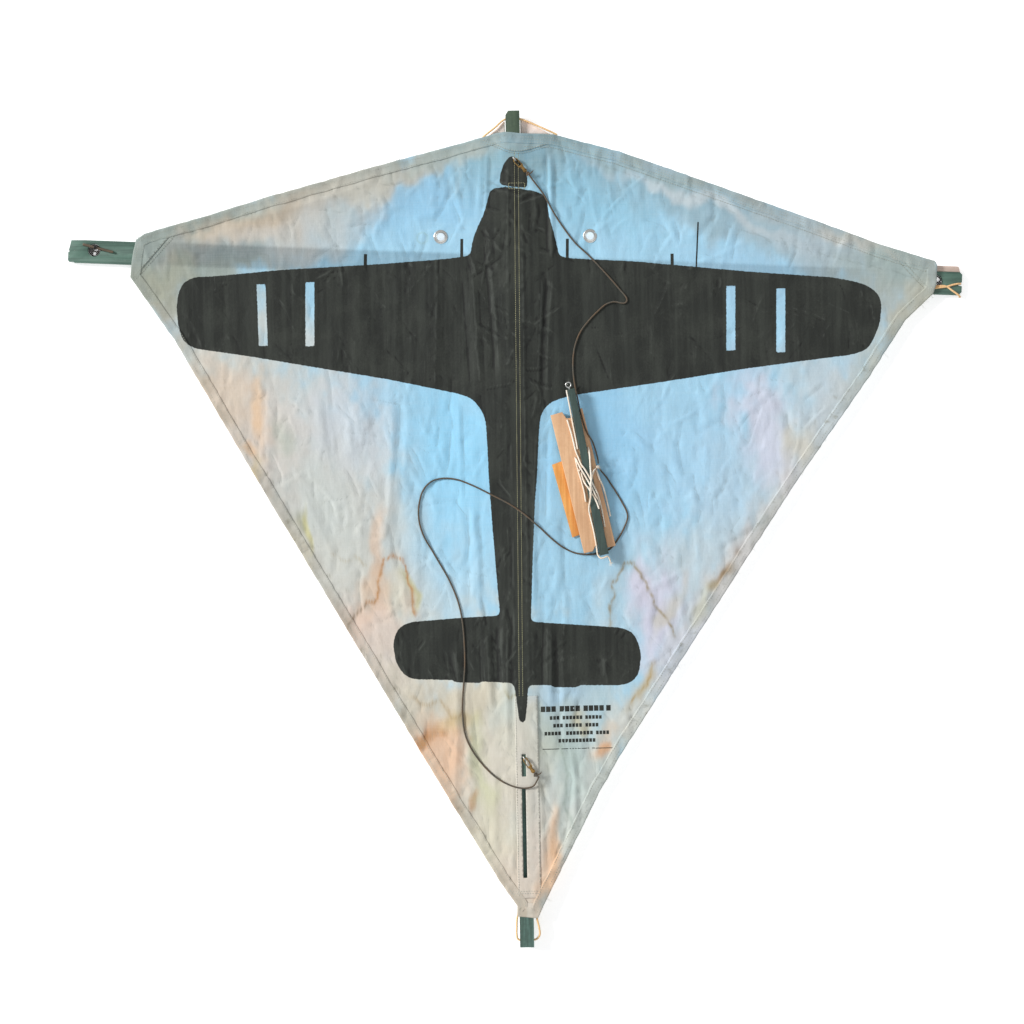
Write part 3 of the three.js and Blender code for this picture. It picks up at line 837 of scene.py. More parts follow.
class SailForm:
    """The height of the sail's face, worked out once on a fine grid.

    Attributes:
        step: the grid's spacing.
        low: the grid's first place.
        size: how many places the grid has across and along.
        over_spar: the least height of the cloth, just above the spar's face.
        over_longeron: its least height where the longeron lies under it.
        apart: the cloth's height away from the longeron, under the bundle.
        slope: how much the cloth under the bundle falls for each millimetre sideways.
        height: the grid of heights.
        crease: how sharply the cloth folds at each place, ridges negative.
    """

    step = 2.0
    low = (-800.0, -730.0)
    size = (801, 741)
    over_spar = 10.9
    over_longeron = 23.0
    apart = 15.0
    slope = 0.0846

    def __init__(self) -> None:
        """Drapes the cloth over the sticks, then folds, crumples and puckers it."""
        gx = self.low[0] + self.step * np.arange(self.size[0])
        gy = self.low[1] + self.step * np.arange(self.size[1])
        self.x, self.y = np.meshgrid(gx, gy, indexing="ij")
        self.edge = line_distance(self.x[::2, ::2], self.y[::2, ::2], SAIL_EDGE, True)
        self.edge = np.repeat(np.repeat(self.edge, 2, 0), 2, 1)[:self.size[0], :self.size[1]]
        self.height = self.tent()
        self.height += 1.3 * value_noise(self.x, self.y, (70, 190), 5, 2)
        self.height += 0.55 * value_noise(self.x, self.y, (26, 60), 9, 2)
        for fold in FOLDS:
            self.add_fold(fold)
        self.crumple()
        self.pucker()
        self.keep_clear()
        smooth = self.height.copy()
        for _ in range(3):
            smooth[1:-1, 1:-1] = (smooth[:-2, 1:-1] + smooth[2:, 1:-1]
                                  + smooth[1:-1, :-2] + smooth[1:-1, 2:]) / 4
        self.crease = (smooth - self.height) * 3.2

    def tent(self) -> np.ndarray:
        """The drape from the longeron down to the wing tips. Returns the heights."""
        run = np.clip((np.abs(self.x) - RIDGE["half"]) / RIDGE["run"], 0, 1)
        return RIDGE["flat"] + (RIDGE["top"] - RIDGE["flat"]) * (1 - run) ** 1.35

    def add_fold(self, fold: Fold) -> None:
        """Adds one crease, a ridge with a furrow beside it.

        Args:
            fold: the crease.
        """
        (ax, ay), (bx, by) = fold.start, fold.end
        reach = 5 * fold.flank + abs(fold.bow)
        i0, i1 = [int((v - self.low[0]) / self.step)
                  for v in (min(ax, bx) - reach, max(ax, bx) + reach)]
        j0, j1 = [int((v - self.low[1]) / self.step)
                  for v in (min(ay, by) - reach, max(ay, by) + reach)]
        window = (slice(max(i0, 0), max(i1, 1)), slice(max(j0, 0), max(j1, 1)))
        x, y = self.x[window], self.y[window]
        length = math.hypot(bx - ax, by - ay)
        ux, uy = (bx - ax) / length, (by - ay) / length
        s = ((x - ax) * ux + (y - ay) * uy) / length
        t = (y - ay) * ux - (x - ax) * uy - fold.bow * 4 * s * (1 - s)
        along = smoothstep(0, 0.22, s) * smoothstep(1, 0.78, s)
        ridge = np.exp(-np.abs(t) / fold.flank)
        furrow = np.exp(-np.abs(t - 1.6 * fold.flank) / (1.2 * fold.flank))
        self.height[window] += fold.rise * along * (ridge - 0.55 * furrow)

    def crumple(self) -> None:
        """Adds the small creases of cloth that has been rolled up for years."""
        rng = np.random.default_rng(1943)
        for _ in range(3600):
            x, y = rng.uniform(-720, 770), rng.uniform(-700, 720)
            lean = math.radians(rng.normal(91, 21) if rng.random() < 0.6
                                else rng.uniform(0, 180))
            length = rng.uniform(22, 95)
            dx, dy = 0.5 * length * math.cos(lean), 0.5 * length * math.sin(lean)
            calm = 0.55 if abs(x) > 60 and 260 < y < 470 else 1.0
            low_right = 1.5 if y < -330 and x > 40 else 1.0
            rise = rng.choice([-1, 1]) * rng.uniform(0.3, 1.5) * calm * low_right
            self.add_fold(Fold((x - dx, y - dy), (x + dx, y + dy), rise,
                               rng.uniform(2.2, 6.5), rng.uniform(-6, 6)))

    def pucker(self) -> None:
        """Gathers the cloth a little along its hems and along the middle stitching."""
        inner = -self.edge
        band = smoothstep(46, 12, inner) * smoothstep(0, 8, inner)
        self.height += 0.8 * band * value_noise(self.x, self.y, (11, 13), 21, 2)
        middle = smoothstep(40, 8, np.abs(self.x - 3))
        self.height += 0.35 * middle * value_noise(self.x, self.y, (30, 9), 23, 2)

    def keep_clear(self) -> None:
        """Keeps the cloth above the sticks and under what lies on it."""
        aside = np.abs(self.x)
        rise = self.over_longeron - self.over_spar
        self.height = np.maximum(self.height, self.over_spar + rise * smoothstep(26, 13, aside))
        highest = RIDGE["top"] + 1.0
        top = np.minimum(highest - self.slope * (aside - 14), highest)
        top = np.where(aside > RIDGE["run"], self.apart, top) - 0.35
        x0, y0, x1, y1 = BUNDLE_ROOM
        outside = np.maximum.reduce([x0 - self.x, self.x - x1, y0 - self.y, self.y - y1])
        held = smoothstep(25, 0, outside)
        self.height = np.where(self.height > top,
                               self.height + held * (top - self.height), self.height)

    def read(self, grid: np.ndarray, x: np.ndarray, y: np.ndarray) -> np.ndarray:
        """Reads a grid between its places.

        Args:
            grid: the grid.
            x, y: places in millimetres.

        Returns:
            The values there.
        """
        gx = np.clip((np.asarray(x) - self.low[0]) / self.step, 0, self.size[0] - 1.001)
        gy = np.clip((np.asarray(y) - self.low[1]) / self.step, 0, self.size[1] - 1.001)
        ix, iy = gx.astype(int), gy.astype(int)
        fx, fy = gx - ix, gy - iy
        return ((grid[ix, iy] * (1 - fx) + grid[ix + 1, iy] * fx) * (1 - fy)
                + (grid[ix, iy + 1] * (1 - fx) + grid[ix + 1, iy + 1] * fx) * fy)

    def at(self, x: np.ndarray, y: np.ndarray) -> np.ndarray:
        """The face's height at each place, in millimetres."""
        return self.read(self.height, x, y)


# ------------------------------------------------------------- the sail's colours, painted shade and print
@dataclass(frozen=True)
class Wash:
    """A soft patch of another colour in the cloth.

    Attributes:
        at: its middle.
        reach: its half length and half width.
        turn: how its length is turned from +X, in degrees.
        colour: its colour.
        strength: how strongly it covers.
        soft: the share of its reach over which it fades.
    """

    at: Point
    reach: Point
    turn: float
    colour: tuple
    strength: float
    soft: float = 0.8


SKY = (164, 209, 233)
WASHES = [Wash(*row) for row in (
    # the broad fading from the blue middle out to the edges
    ((-400, 60), (460, 170), -59, (206, 206, 196), 0.95, 0.6),
    ((-290, 60), (330, 70), -68, (194, 208, 212), 0.7, 0.7),
    ((-140, -60), (90, 150), 0, (186, 213, 226), 0.85),
    ((260, -120), (130, 120), -10, (192, 210, 218), 0.8),
    ((-60, -470), (190, 230), 0, (214, 208, 190), 0.97, 0.5),
    ((0, -660), (90, 70), 0, (222, 210, 192), 0.97),
    ((80, -380), (110, 120), -12, (178, 192, 180), 0.9),
    ((120, -500), (80, 120), -26, (208, 212, 202), 0.9),
    ((450, 70), (420, 110), 57, (190, 205, 212), 0.85, 0.7),
    ((480, 0), (560, 52), 57, (184, 188, 178), 0.85, 0.7),
    ((430, 560), (350, 62), -20, (172, 182, 184), 0.9, 0.7),
    ((690, 440), (110, 90), -20, (168, 170, 160), 0.95),
    ((-430, 572), (310, 62), 16, (178, 180, 168), 0.95, 0.6),
    ((-600, 490), (170, 96), 12, (160, 166, 158), 0.95),
    ((-340, 560), (120, 60), 16, (172, 192, 198), 0.7),
    ((0, 690), (140, 56), 0, (138, 160, 160), 0.95, 0.6),
    ((-70, 650), (60, 70), 0, (140, 176, 186), 0.7), ((90, 640), (80, 60), 0, (142, 182, 196), 0.7),
    # brighter and duller blues
    ((-110, 110), (90, 190), 0, (150, 212, 244), 0.85),
    ((130, 150), (120, 170), 10, (146, 202, 236), 0.8),
    ((-160, 590), (150, 60), 12, (146, 198, 230), 0.7),
    ((150, 600), (130, 75), -12, (146, 198, 222), 0.8),
    ((330, 120), (160, 110), -30, (168, 208, 234), 0.6), ((0, 690), (90, 30), 0, (128, 168, 184), 0.8),
    ((-60, 640), (50, 60), 0, (140, 180, 196), 0.6), ((420, 440), (150, 60), -8, (160, 200, 226), 0.6),
    # the upper left: greys and pinkish cream under the hem
    ((-610, 500), (170, 75), 14, (150, 164, 158), 0.95),
    ((-330, 600), (260, 26), 16, (206, 192, 176), 0.85),
    ((-470, 560), (150, 30), 20, (196, 180, 158), 0.8),
    ((-420, 545), (170, 32), 14, (200, 197, 190), 0.75),
    ((-250, 620), (150, 24), 15, (188, 190, 180), 0.7),
    ((-120, 668), (100, 26), 13, (168, 182, 178), 0.8),
    ((-520, 505), (130, 22), -2, (142, 160, 164), 0.7),
    ((-360, 520), (90, 30), 10, (196, 204, 206), 0.6),
    ((-640, 440), (60, 50), 20, (170, 170, 150), 0.7),
    # the upper right: painted shade of a fold under the hem, a pale painted highlight on its ridge
    ((330, 575), (310, 40), -20, (146, 182, 198), 0.85),
    ((380, 560), (220, 13), -21, (196, 206, 210), 0.8),
    ((560, 490), (170, 26), -18, (176, 192, 200), 0.75),
    ((690, 450), (110, 60), -14, (158, 174, 172), 0.95),
    ((250, 632), (190, 14), -18, (160, 180, 182), 0.7),
    ((712, 390), (26, 90), -38, (186, 184, 168), 0.85),
    ((600, 500), (90, 12), -20, (206, 200, 190), 0.6),
    # the left below the wing: creams, tans and tide marks
    ((-430, 130), (180, 150), -55, (214, 207, 200), 0.95),
    ((-330, -60), (120, 190), 28, (208, 208, 200), 0.9),
    ((-300, 200), (90, 90), 0, (198, 210, 220), 0.7), ((-360, 60), (60, 120), 20, (196, 206, 204), 0.6),
    ((-520, 230), (70, 60), -50, (218, 200, 180), 0.8),
    ((-456, 220), (16, 75), 3, (232, 196, 158), 0.75), ((-480, 150), (18, 16), 0, (232, 192, 150), 0.7),
    ((-462, 110), (10, 40), 8, (206, 186, 140), 0.7), ((-382, -4), (7, 46), 8, (206, 200, 140), 0.75),
    ((-396, 20), (14, 26), 0, (160, 158, 118), 0.5), ((-420, 180), (14, 40), 0, (172, 180, 160), 0.4),
    ((-400, -40), (60, 24), -60, (190, 182, 160), 0.6),
    ((-262, -30), (14, 60), -8, (226, 190, 160), 0.55),
    ((-281, -166), (26, 42), -20, (236, 196, 162), 0.9),
    ((-255, -105), (24, 44), 0, (222, 190, 160), 0.7),
    ((-205, -118), (12, 42), 8, (190, 186, 120), 0.8),
    ((-228, -120), (26, 62), 0, (208, 204, 188), 0.85),
    ((-300, -180), (70, 60), 30, (222, 204, 192), 0.8),
    ((-240, -235), (60, 70), 30, (216, 202, 190), 0.85),
    # below the tailplane, left
    ((-110, -460), (150, 190), 28, (208, 202, 188), 0.97),
    ((-180, -330), (90, 60), -30, (206, 200, 184), 0.9),
    ((-150, -400), (44, 74), 12, (230, 190, 158), 0.85),
    ((-168, -368), (13, 20), 10, (184, 120, 66), 0.85, 0.9),
    ((-118, -350), (46, 26), 20, (190, 170, 120), 0.6),
    ((-92, -474), (6, 16), -14, (186, 138, 104), 0.9),
    ((-76, -440), (20, 110), 4, (200, 202, 166), 0.7),
    ((-140, -470), (20, 60), 20, (228, 196, 168), 0.7),
    ((-90, -300), (80, 26), 0, (206, 198, 178), 0.85), ((-20, -320), (34, 44), 0, (186, 200, 196), 0.6),
    ((-60, -560), (70, 60), 30, (212, 206, 186), 0.8), ((0, -640), (60, 60), 0, (216, 202, 186), 0.8),
    # the right: lavender creams and the tide mark
    ((450, 170), (50, 130), 20, (206, 208, 224), 0.8),
    ((510, 40), (60, 120), -34, (208, 206, 204), 0.75),
    ((400, -80), (46, 150), -34, (210, 206, 204), 0.85),
    ((560, 190), (60, 90), -34, (196, 206, 212), 0.7),
    ((510, 150), (22, 44), -20, (206, 200, 184), 0.7),
    ((240, -160), (46, 110), -6, (206, 206, 224), 0.9),
    ((200, -110), (26, 48), 0, (210, 208, 226), 0.8),
    ((290, -230), (34, 110), -30, (206, 210, 220), 0.8),
    ((330, -150), (16, 40), -30, (186, 186, 160), 0.6),
    ((372, -86), (9, 34), -32, (150, 116, 62), 0.85),
    ((350, -120), (10, 16), -30, (168, 150, 110), 0.7),
    ((262, -150), (12, 60), -28, (196, 190, 170), 0.6),
    # below the tailplane, right
    ((110, -330), (70, 60), 0, (182, 204, 212), 0.85), ((60, -300), (60, 22), 0, (170, 204, 226), 0.75),
    ((90, -470), (80, 110), -24, (198, 206, 202), 0.95),
    ((205, -340), (34, 80), -30, (204, 204, 196), 0.85),
    ((80, -430), (26, 90), -6, (176, 196, 192), 0.7),
    ((215, -290), (14, 40), -30, (196, 180, 140), 0.65),
    ((145, -386), (15, 12), 0, (206, 142, 92), 0.95, 0.6),
    ((148, -384), (28, 20), 20, (222, 186, 150), 0.6),
    ((36, -596), (20, 80), -6, (238, 196, 158), 0.95), ((18, -560), (14, 60), 0, (214, 200, 186), 0.7),
    ((110, -340), (16, 14), 0, (196, 172, 110), 0.5),
    ((150, -470), (60, 60), -30, (200, 206, 200), 0.8),
)]


@dataclass(frozen=True)
class TideLine:
    """The brown edge that a water stain leaves.

    Attributes:
        line: its points.
        width: how wide it is.
        colour: its colour.
        strength: how strongly it shows.
    """

    line: Points
    width: float
    colour: tuple
    strength: float


TIDE_LINES = [
    TideLine([(-281, -130), (-262, -128), (-256, -90), (-244, -50), (-226, -44), (-214, -52),
              (-204, -78), (-196, -106), (-192, -150)], 2.2, (186, 136, 86), 0.75),
    TideLine([(-330, -172), (-318, -178), (-300, -150), (-280, -132)], 1.8, (150, 128, 104), 0.7),
    TideLine([(160, -150), (168, -118), (164, -104), (178, -84), (192, -66), (206, -64),
              (216, -82), (226, -100), (232, -124), (246, -150), (262, -168), (278, -196)],
             2.0, (150, 134, 98), 0.7),
    TideLine([(160, -150), (158, -190), (166, -230)], 1.8, (160, 146, 110), 0.5),
    TideLine([(236, -250), (222, -282), (206, -300), (196, -318)], 2.2, (176, 152, 104), 0.7),
    TideLine([(-200, -300), (-168, -318), (-150, -304), (-128, -338), (-110, -330), (-96, -380)],
             2.0, (170, 146, 104), 0.5),
    TideLine([(-30, -290), (-22, -306), (-10, -296)], 1.6, (150, 140, 96), 0.6),
    TideLine([(66, -390), (80, -440), (74, -500), (88, -540)], 1.8, (150, 166, 156), 0.5),
    TideLine([(-340, -40), (-318, -52), (-300, -46), (-282, -60)], 1.6, (180, 168, 140), 0.4),
]
GHOST_RING = ((-166.0, 527.0), 9.6, 1.7)

SPINNER = [(-4, 671), (-14, 662), (-20, 650), (-24, 636), (-26, 620), (-1, 615), (24, 613),
           (25, 628), (23, 641), (17, 653), (10, 661), (3, 668)]
AEROPLANE = [
    (-42, 612), (-17, 616), (38, 607), (55, 600), (60, 590), (62, 564), (71, 532), (77, 505),
    (80, 490), (97, 486), (218, 478), (423, 456), (565, 444), (604, 437), (628, 430),
    (645, 420), (655, 408), (659, 393), (655, 359), (644, 332), (636, 318), (624, 309),
    (602, 303), (501, 292), (400, 280), (268, 261), (107, 240), (80, 234), (62, 228),
    (49, 217), (41, 202), (38, 179), (33, 98), (28, 46), (22, -63), (17, -167), (121, -176),
    (179, -181), (199, -189), (209, -205), (215, -231), (211, -258), (206, -270), (197, -279),
    (177, -285), (101, -283), (100, -287), (54, -286), (54, -282), (10, -281), (8, -312),
    (4, -348), (-7, -347), (-12, -300), (-16, -277), (-75, -273), (-75, -276), (-123, -274),
    (-123, -270), (-199, -267), (-215, -257), (-227, -237), (-232, -207), (-228, -186),
    (-218, -172), (-199, -164), (-108, -158), (-38, -155), (-41, -118), (-50, 19), (-54, 93),
    (-56, 159), (-58, 197), (-66, 217), (-82, 236), (-104, 245), (-229, 273), (-382, 301),
    (-478, 319), (-578, 335), (-593, 343), (-603, 356), (-609, 380), (-611, 412),
    (-606, 440), (-596, 456), (-578, 464), (-541, 465), (-423, 474), (-237, 482),
    (-120, 489), (-80, 494), (-76, 520), (-67, 543), (-54, 570), (-47, 594)]
WING_STRIPES = [((-458, 449), (-456, 338)), ((-370, 451), (-372, 336)),
                ((388, 431), (386, 315)), ((478, 425), (476, 310))]
STRIPE_HALF = 8.0
BARRELS = [((-95, 524), (-96, 488), 2.6), ((95, 521), (94, 482), 2.6),
           ((-269, 500), (-270, 476), 2.8), ((283, 491), (283, 466), 2.8),
           ((331, 547), (326, 462), 1.3)]


class DyeAndShading:
    """The colours of the cloth, painted shade included, and the distance to the edge of its print."""

    def __init__(self, form: SailForm) -> None:
        """Prepares the print's outlines.

        Args:
            form: the sail's form.
        """
        self.form = form
        self.outlines = [rounded(rounded(AEROPLANE, 5), 3), rounded(SPINNER, 4)]

    def colours(self, x: np.ndarray, y: np.ndarray) -> np.ndarray:
        """The cloth's colour at each place, with the spar's painted shadow and painted fold shade.

        Args:
            x, y: places in millimetres.

        Returns:
            Linear colours.
        """
        wx = x + 16 * value_noise(x, y, (55, 70), 31, 3)
        wy = y + 20 * value_noise(x, y, (45, 80), 41, 3)
        ragged = 0.22 * value_noise(x, y, (18, 26), 51, 3)
        colour = np.tile(np.array(linear(*SKY)), (len(x), 1))
        for wash in WASHES:
            turn = math.radians(wash.turn)
            dx, dy = wx - wash.at[0], wy - wash.at[1]
            u = (dx * math.cos(turn) + dy * math.sin(turn)) / wash.reach[0]
            v = (dy * math.cos(turn) - dx * math.sin(turn)) / wash.reach[1]
            far = np.hypot(u, v) + ragged
            share = wash.strength * smoothstep(1.5, 1.5 - 1.6 * wash.soft, far)
            colour += share[:, None] * (np.array(linear(*wash.colour)) - colour)
        colour = self.stained(x, y, colour)
        # Painted shade: the spar's shadow through the cloth and faint fold streaks.
        colour *= self.shade(x, y)[:, None]
        return np.clip(colour, 0, 1)

    def stained(self, x: np.ndarray, y: np.ndarray, colour: np.ndarray) -> np.ndarray:
        """Adds tide lines, the dirty hems and the old eyelet's ring.

        Args:
            x, y: places in millimetres.
            colour: the colours so far.

        Returns:
            The stained colours.
        """
        jx = x + 3.5 * value_noise(x, y, (16, 16), 61, 3)
        jy = y + 3.5 * value_noise(x, y, (16, 16), 71, 3)
        for tide in TIDE_LINES:
            away = line_distance(jx, jy, tide.line, False)
            share = tide.strength * (np.exp(-(away / tide.width) ** 2)
                                     + 0.25 * np.exp(-away / (4 * tide.width)))
            colour = colour + np.clip(share, 0, 1)[:, None] * (
                np.array(linear(*tide.colour)) - colour)
        inner = -self.form.read(self.form.edge, x, y)
        dirt = 0.5 + 0.5 * value_noise(x, y, (34, 34), 81, 3)
        hem = smoothstep(26, 4, inner) * np.clip(dirt, 0.15, 1)
        lower_left = (x < 0) & (y < 420)
        tone = np.where(lower_left[:, None], linear(150, 142, 124), linear(140, 148, 142))
        colour = colour + (0.6 * hem)[:, None] * (tone - colour)
        mildew = smoothstep(0.85, 1.1, value_noise(x, y, (9, 9), 91, 2)) * smoothstep(60, 5, inner)
        colour = colour + (0.5 * mildew * (y < 300))[:, None] * (
            np.array(linear(120, 116, 92)) - colour)
        (cx, cy), radius, width = GHOST_RING
        ring = np.exp(-((np.hypot(x - cx, y - cy) - radius) / width) ** 2)
        return colour + (0.4 * ring)[:, None] * (np.array(linear(150, 182, 176)) - colour)

    def shade(self, x: np.ndarray, y: np.ndarray) -> np.ndarray:
        """How much darker the cloth is: the spar's painted shadow, faint painted fold shade, fine
        blotches.

        Args:
            x, y: places in millimetres.

        Returns:
            The share of light left.
        """
        # Painted shadow: a darker band where the spar lies under the thin cloth.
        across = np.abs(y - SPAR["y"] - SPAR["tilt"] * x) - SPAR["half"]
        reach = smoothstep(-690, -560, x) * smoothstep(-40, -110, x)
        reach += 0.8 * smoothstep(70, 110, x) * smoothstep(700, 520, x)
        over_spar = smoothstep(3, -3, across) * reach
        blotch = value_noise(x, y, (22, 34), 101, 4)
        # Faint long streaks of painted shade from small folds.
        along = value_noise(x, y, (9, 90), 111, 3)
        return (1 - 0.32 * over_spar) * (1 + 0.035 * blotch + 0.03 * along)

    def print_edge(self, x: np.ndarray, y: np.ndarray) -> np.ndarray:
        """Distance to the print's edge, negative in the ink.

        Args:
            x, y: places in millimetres.

        Returns:
            Distances in millimetres, cut off at 20.
        """
        edge = np.minimum(*[line_distance(x, y, line, True) for line in self.outlines])
        for start, end in WING_STRIPES:
            stripe = line_distance(x, y, [start, end], False)
            ends = np.maximum(y - max(start[1], end[1]), min(start[1], end[1]) - y)
            edge = np.maximum(edge, -np.maximum(stripe - STRIPE_HALF, ends))
        return np.clip(edge, -20, 20)

    def dress(self, made: Piece, inked: float | None = None) -> None:
        """Stores colours with their painted shade, the print and the crease on a piece's vertices.

        Args:
            made: the piece.
            inked: a distance to store in place of the print's own, or None.
        """
        x, y, _ = places_of(made).T.astype(float)
        set_colours(made, "dye_and_shading", self.colours(x, y))
        edge = self.print_edge(x, y) if inked is None else np.full(len(x), inked)
        set_values(made, "print", edge)
        set_values(made, "crease", np.clip(self.form.read(self.form.crease, x, y), -1, 1))


# --------------------------------------------------------------------- modelling tools
def apply_modifier(made: Piece, kind: str, **settings: object) -> None:
    """Adds a modifier and applies it.

    Args:
        made: the piece.
        kind: the modifier's type.
        settings: its values.
    """
    only(made)
    modifier = made.modifiers.new(kind.lower(), kind)
    for key, value in settings.items():
        setattr(modifier, key, value)
    bpy.ops.object.modifier_apply(modifier=modifier.name)


def bake_place(made: Piece, name: str) -> Piece:
    """Names a piece and puts its place into its mesh.

    Args:
        made: the piece.
        name: its name.

    Returns:
        The piece, at the origin.
    """
    only(made)
    bpy.ops.object.transform_apply(location=True, rotation=True, scale=True)
    made.name = name
    return made


def smooth_sides(made: Piece, degrees: float = 35) -> None:
    """Shades a piece smooth, except over edges sharper than an angle."""
    only(made)
    bpy.ops.object.shade_smooth_by_angle(angle=math.radians(degrees))


def eased_copy(node: str, name: str, bevel: float, segments: int = 2) -> Piece:
    """Makes a finer piece from a frame node: its edges are eased and its faces cleaned.

    Args:
        node: the frame node.
        name: the new piece's name.
        bevel: the width of the eased edges, in millimetres.
        segments: how many facets round each edge.

    Returns:
        The new piece, which replaces the node.
    """
    made = new_object(name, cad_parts[node].data.copy())
    made.data.materials.clear()
    only(made)
    bpy.ops.object.mode_set(mode="EDIT")
    bpy.ops.mesh.select_all(action="SELECT")
    bpy.ops.mesh.remove_doubles(threshold=0.00002)
    bpy.ops.mesh.dissolve_limited(angle_limit=math.radians(1.0))
    bpy.ops.object.mode_set(mode="OBJECT")
    apply_modifier(made, "BEVEL", width=bevel * MM, segments=segments, limit_method="ANGLE",
                   angle_limit=math.radians(32), harden_normals=False)
    smooth_sides(made)
    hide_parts(node)
    return made


def turned(name: str, profile: Points, at: tuple, steps: int = 48) -> Piece:
    """Spins a closed profile round an upright axis.

    Args:
        name: the piece's name.
        profile: radius and height of each corner, in millimetres.
        at: where the axis stands.
        steps: facets round the piece.

    Returns:
        The piece.
    """
    x, y = at
    points = [(x + r, y, z) for r, z in profile]
    made = mesh_object(name, np.array(points), [tuple(range(len(points)))])
    only(made)
    bpy.ops.object.mode_set(mode="EDIT")
    bpy.ops.mesh.select_all(action="SELECT")
    bpy.ops.mesh.delete(type="ONLY_FACE")
    bpy.ops.mesh.select_all(action="SELECT")
    bpy.ops.mesh.spin(steps=steps, angle=2 * math.pi, center=(x * MM, y * MM, 0),
                      axis=(0, 0, 1), use_auto_merge=True)
    bpy.ops.mesh.select_all(action="SELECT")
    bpy.ops.mesh.remove_doubles(threshold=0.00001)
    bpy.ops.mesh.normals_make_consistent(inside=False)
    bpy.ops.object.mode_set(mode="OBJECT")
    smooth_sides(made, 50)
    return made


def joined(name: str, pieces: list[Piece]) -> Piece:
    """Joins pieces into one.

    Args:
        name: the joined piece's name.
        pieces: what to join.

    Returns:
        The joined piece.
    """
    only(pieces[0])
    for piece in pieces:
        piece.select_set(True)
    bpy.ops.object.join()
    pieces[0].name = name
    return pieces[0]


def rope(name: str, path: np.ndarray, diameter: float, strands: int = 3,
         pitch: float = 3.2) -> Piece:
    """Lays strands round a path as a twisted cord.

    Args:
        name: the piece's name.
        path: the cord's middle line.
        diameter: the cord's full diameter.
        strands: how many strands are twisted together.
        pitch: the length of one full twist, in diameters.

    Returns:
        The cord.
    """
    corners = 4 * strands
    turn = 2 * np.pi * np.arange(corners) / corners
    lobe = 0.5 * diameter * (0.83 + 0.17 * np.abs(np.cos(0.5 * strands * turn)) ** 0.6)
    lobe *= 1.04
    sections = []
    for s in run_along(path):
        twist = turn + 2 * np.pi * s / (pitch * diameter)
        sections.append(np.column_stack([lobe * np.cos(twist), lobe * np.sin(twist)]))
    points, faces = sweep_rings(path, np.array(sections))
    return mesh_object(name, points, faces)


def knot_path(at: tuple, size: float, lean: float = 0.0, spacing: float = 0.5) -> np.ndarray:
    """The path of a drawn-up overhand knot.

    Args:
        at: the knot's middle.
        size: half its width.
        lean: how it is turned round the upright axis, in degrees.
        spacing: the distance between the path's points.

    Returns:
        The path.
    """
    t = np.linspace(0.12, 2 * np.pi - 0.12, 60)
    loop = np.column_stack([np.sin(t) + 2 * np.sin(2 * t), np.cos(t) - 2 * np.cos(2 * t),
                            -1.5 * np.sin(3 * t)]) * size / 3.2
    turn = Matrix.Rotation(math.radians(lean), 3, "Z") @ Matrix.Rotation(0.5, 3, "X")
    return evenly((loop @ np.array(turn).T) + np.array(at), spacing)


def frayed(name: str, at: tuple, lean: float, count: int, reach: float, seed: int,
           spread: float = 34.0, thick: float = 0.22) -> Piece:
    """A tuft of loose fibres at a cord's end or a torn hem.

    Args:
        name: the piece's name.
        at: where the fibres start.
        lean: the direction they point in, in degrees.
        count: how many there are.
        reach: their usual length.
        seed: which random tuft.
        spread: how far their directions differ.
        thick: a fibre's radius.

    Returns:
        The tuft.
    """
    rng = np.random.default_rng(seed)
    points, faces = [], []
    for _ in range(count):
        turn = math.radians(lean + rng.normal(0, spread))
        curl = math.radians(rng.normal(0, 40))
        length = reach * rng.uniform(0.5, 1.2)
        s = np.linspace(0, 1, 6)
        heading = turn + curl * s
        step = length / 5
        path = np.array(at, float) + np.column_stack([
            np.cumsum(step * np.cos(heading)) - step * math.cos(turn),
            np.cumsum(step * np.sin(heading)) - step * math.sin(turn),
            rng.uniform(-0.4, 0.8) * s])
        ring = 2 * np.pi * np.arange(4) / 4
        sections = [np.column_stack([np.cos(ring), np.sin(ring)]) * thick * (1 - 0.6 * f)
                    for f in s]
        some, sides = sweep_rings(path, np.array(sections))
        faces += [[k + sum(len(p) for p in points) for k in side] for side in sides]
        points.append(some)
    return mesh_object(name, np.vstack(points), faces)


def middles(mesh: bmesh.types.BMesh) -> np.ndarray:
    """The middle of each face in the sail's plane, in millimetres."""
    return np.array([f.calc_center_median().xy[:] for f in mesh.faces]).reshape(-1, 2) / MM


def within(x: np.ndarray, y: np.ndarray, outlines: list[Points]) -> np.ndarray:
    """Whether each place lies in any of the closed outlines."""
    return np.any([line_distance(x, y, outline, True) < 0 for outline in outlines], axis=0)


def keep_faces(mesh: bmesh.types.BMesh, kept: np.ndarray) -> None:
    """Removes the faces that aren't kept.

    Args:
        mesh: the cloth being cut.
        kept: for each face, whether it stays.
    """
    mesh.faces.ensure_lookup_table()
    bmesh.ops.delete(mesh, geom=[mesh.faces[i] for i in np.flatnonzero(~kept)],
                     context="FACES")


def split_along(mesh: bmesh.types.BMesh, outline: Points) -> None:
    """Splits the faces that a closed outline crosses.

    Args:
        mesh: the cloth being cut.
        outline: the outline's corners in the sail's plane.
    """
    for (ax, ay), (bx, by) in zip(outline, outline[1:] + outline[:1]):
        x, y = middles(mesh).T
        near = ((x > min(ax, bx) - 6) & (x < max(ax, bx) + 6)
                & (y > min(ay, by) - 6) & (y < max(ay, by) + 6))
        mesh.faces.ensure_lookup_table()
        faces = [mesh.faces[i] for i in np.flatnonzero(near)]
        parts = list({*faces, *(e for f in faces for e in f.edges),
                      *(v for f in faces for v in f.verts)})
        bmesh.ops.bisect_plane(mesh, geom=parts, dist=1e-7, plane_co=(ax * MM, ay * MM, 0),
                               plane_no=(by - ay, ax - bx, 0))


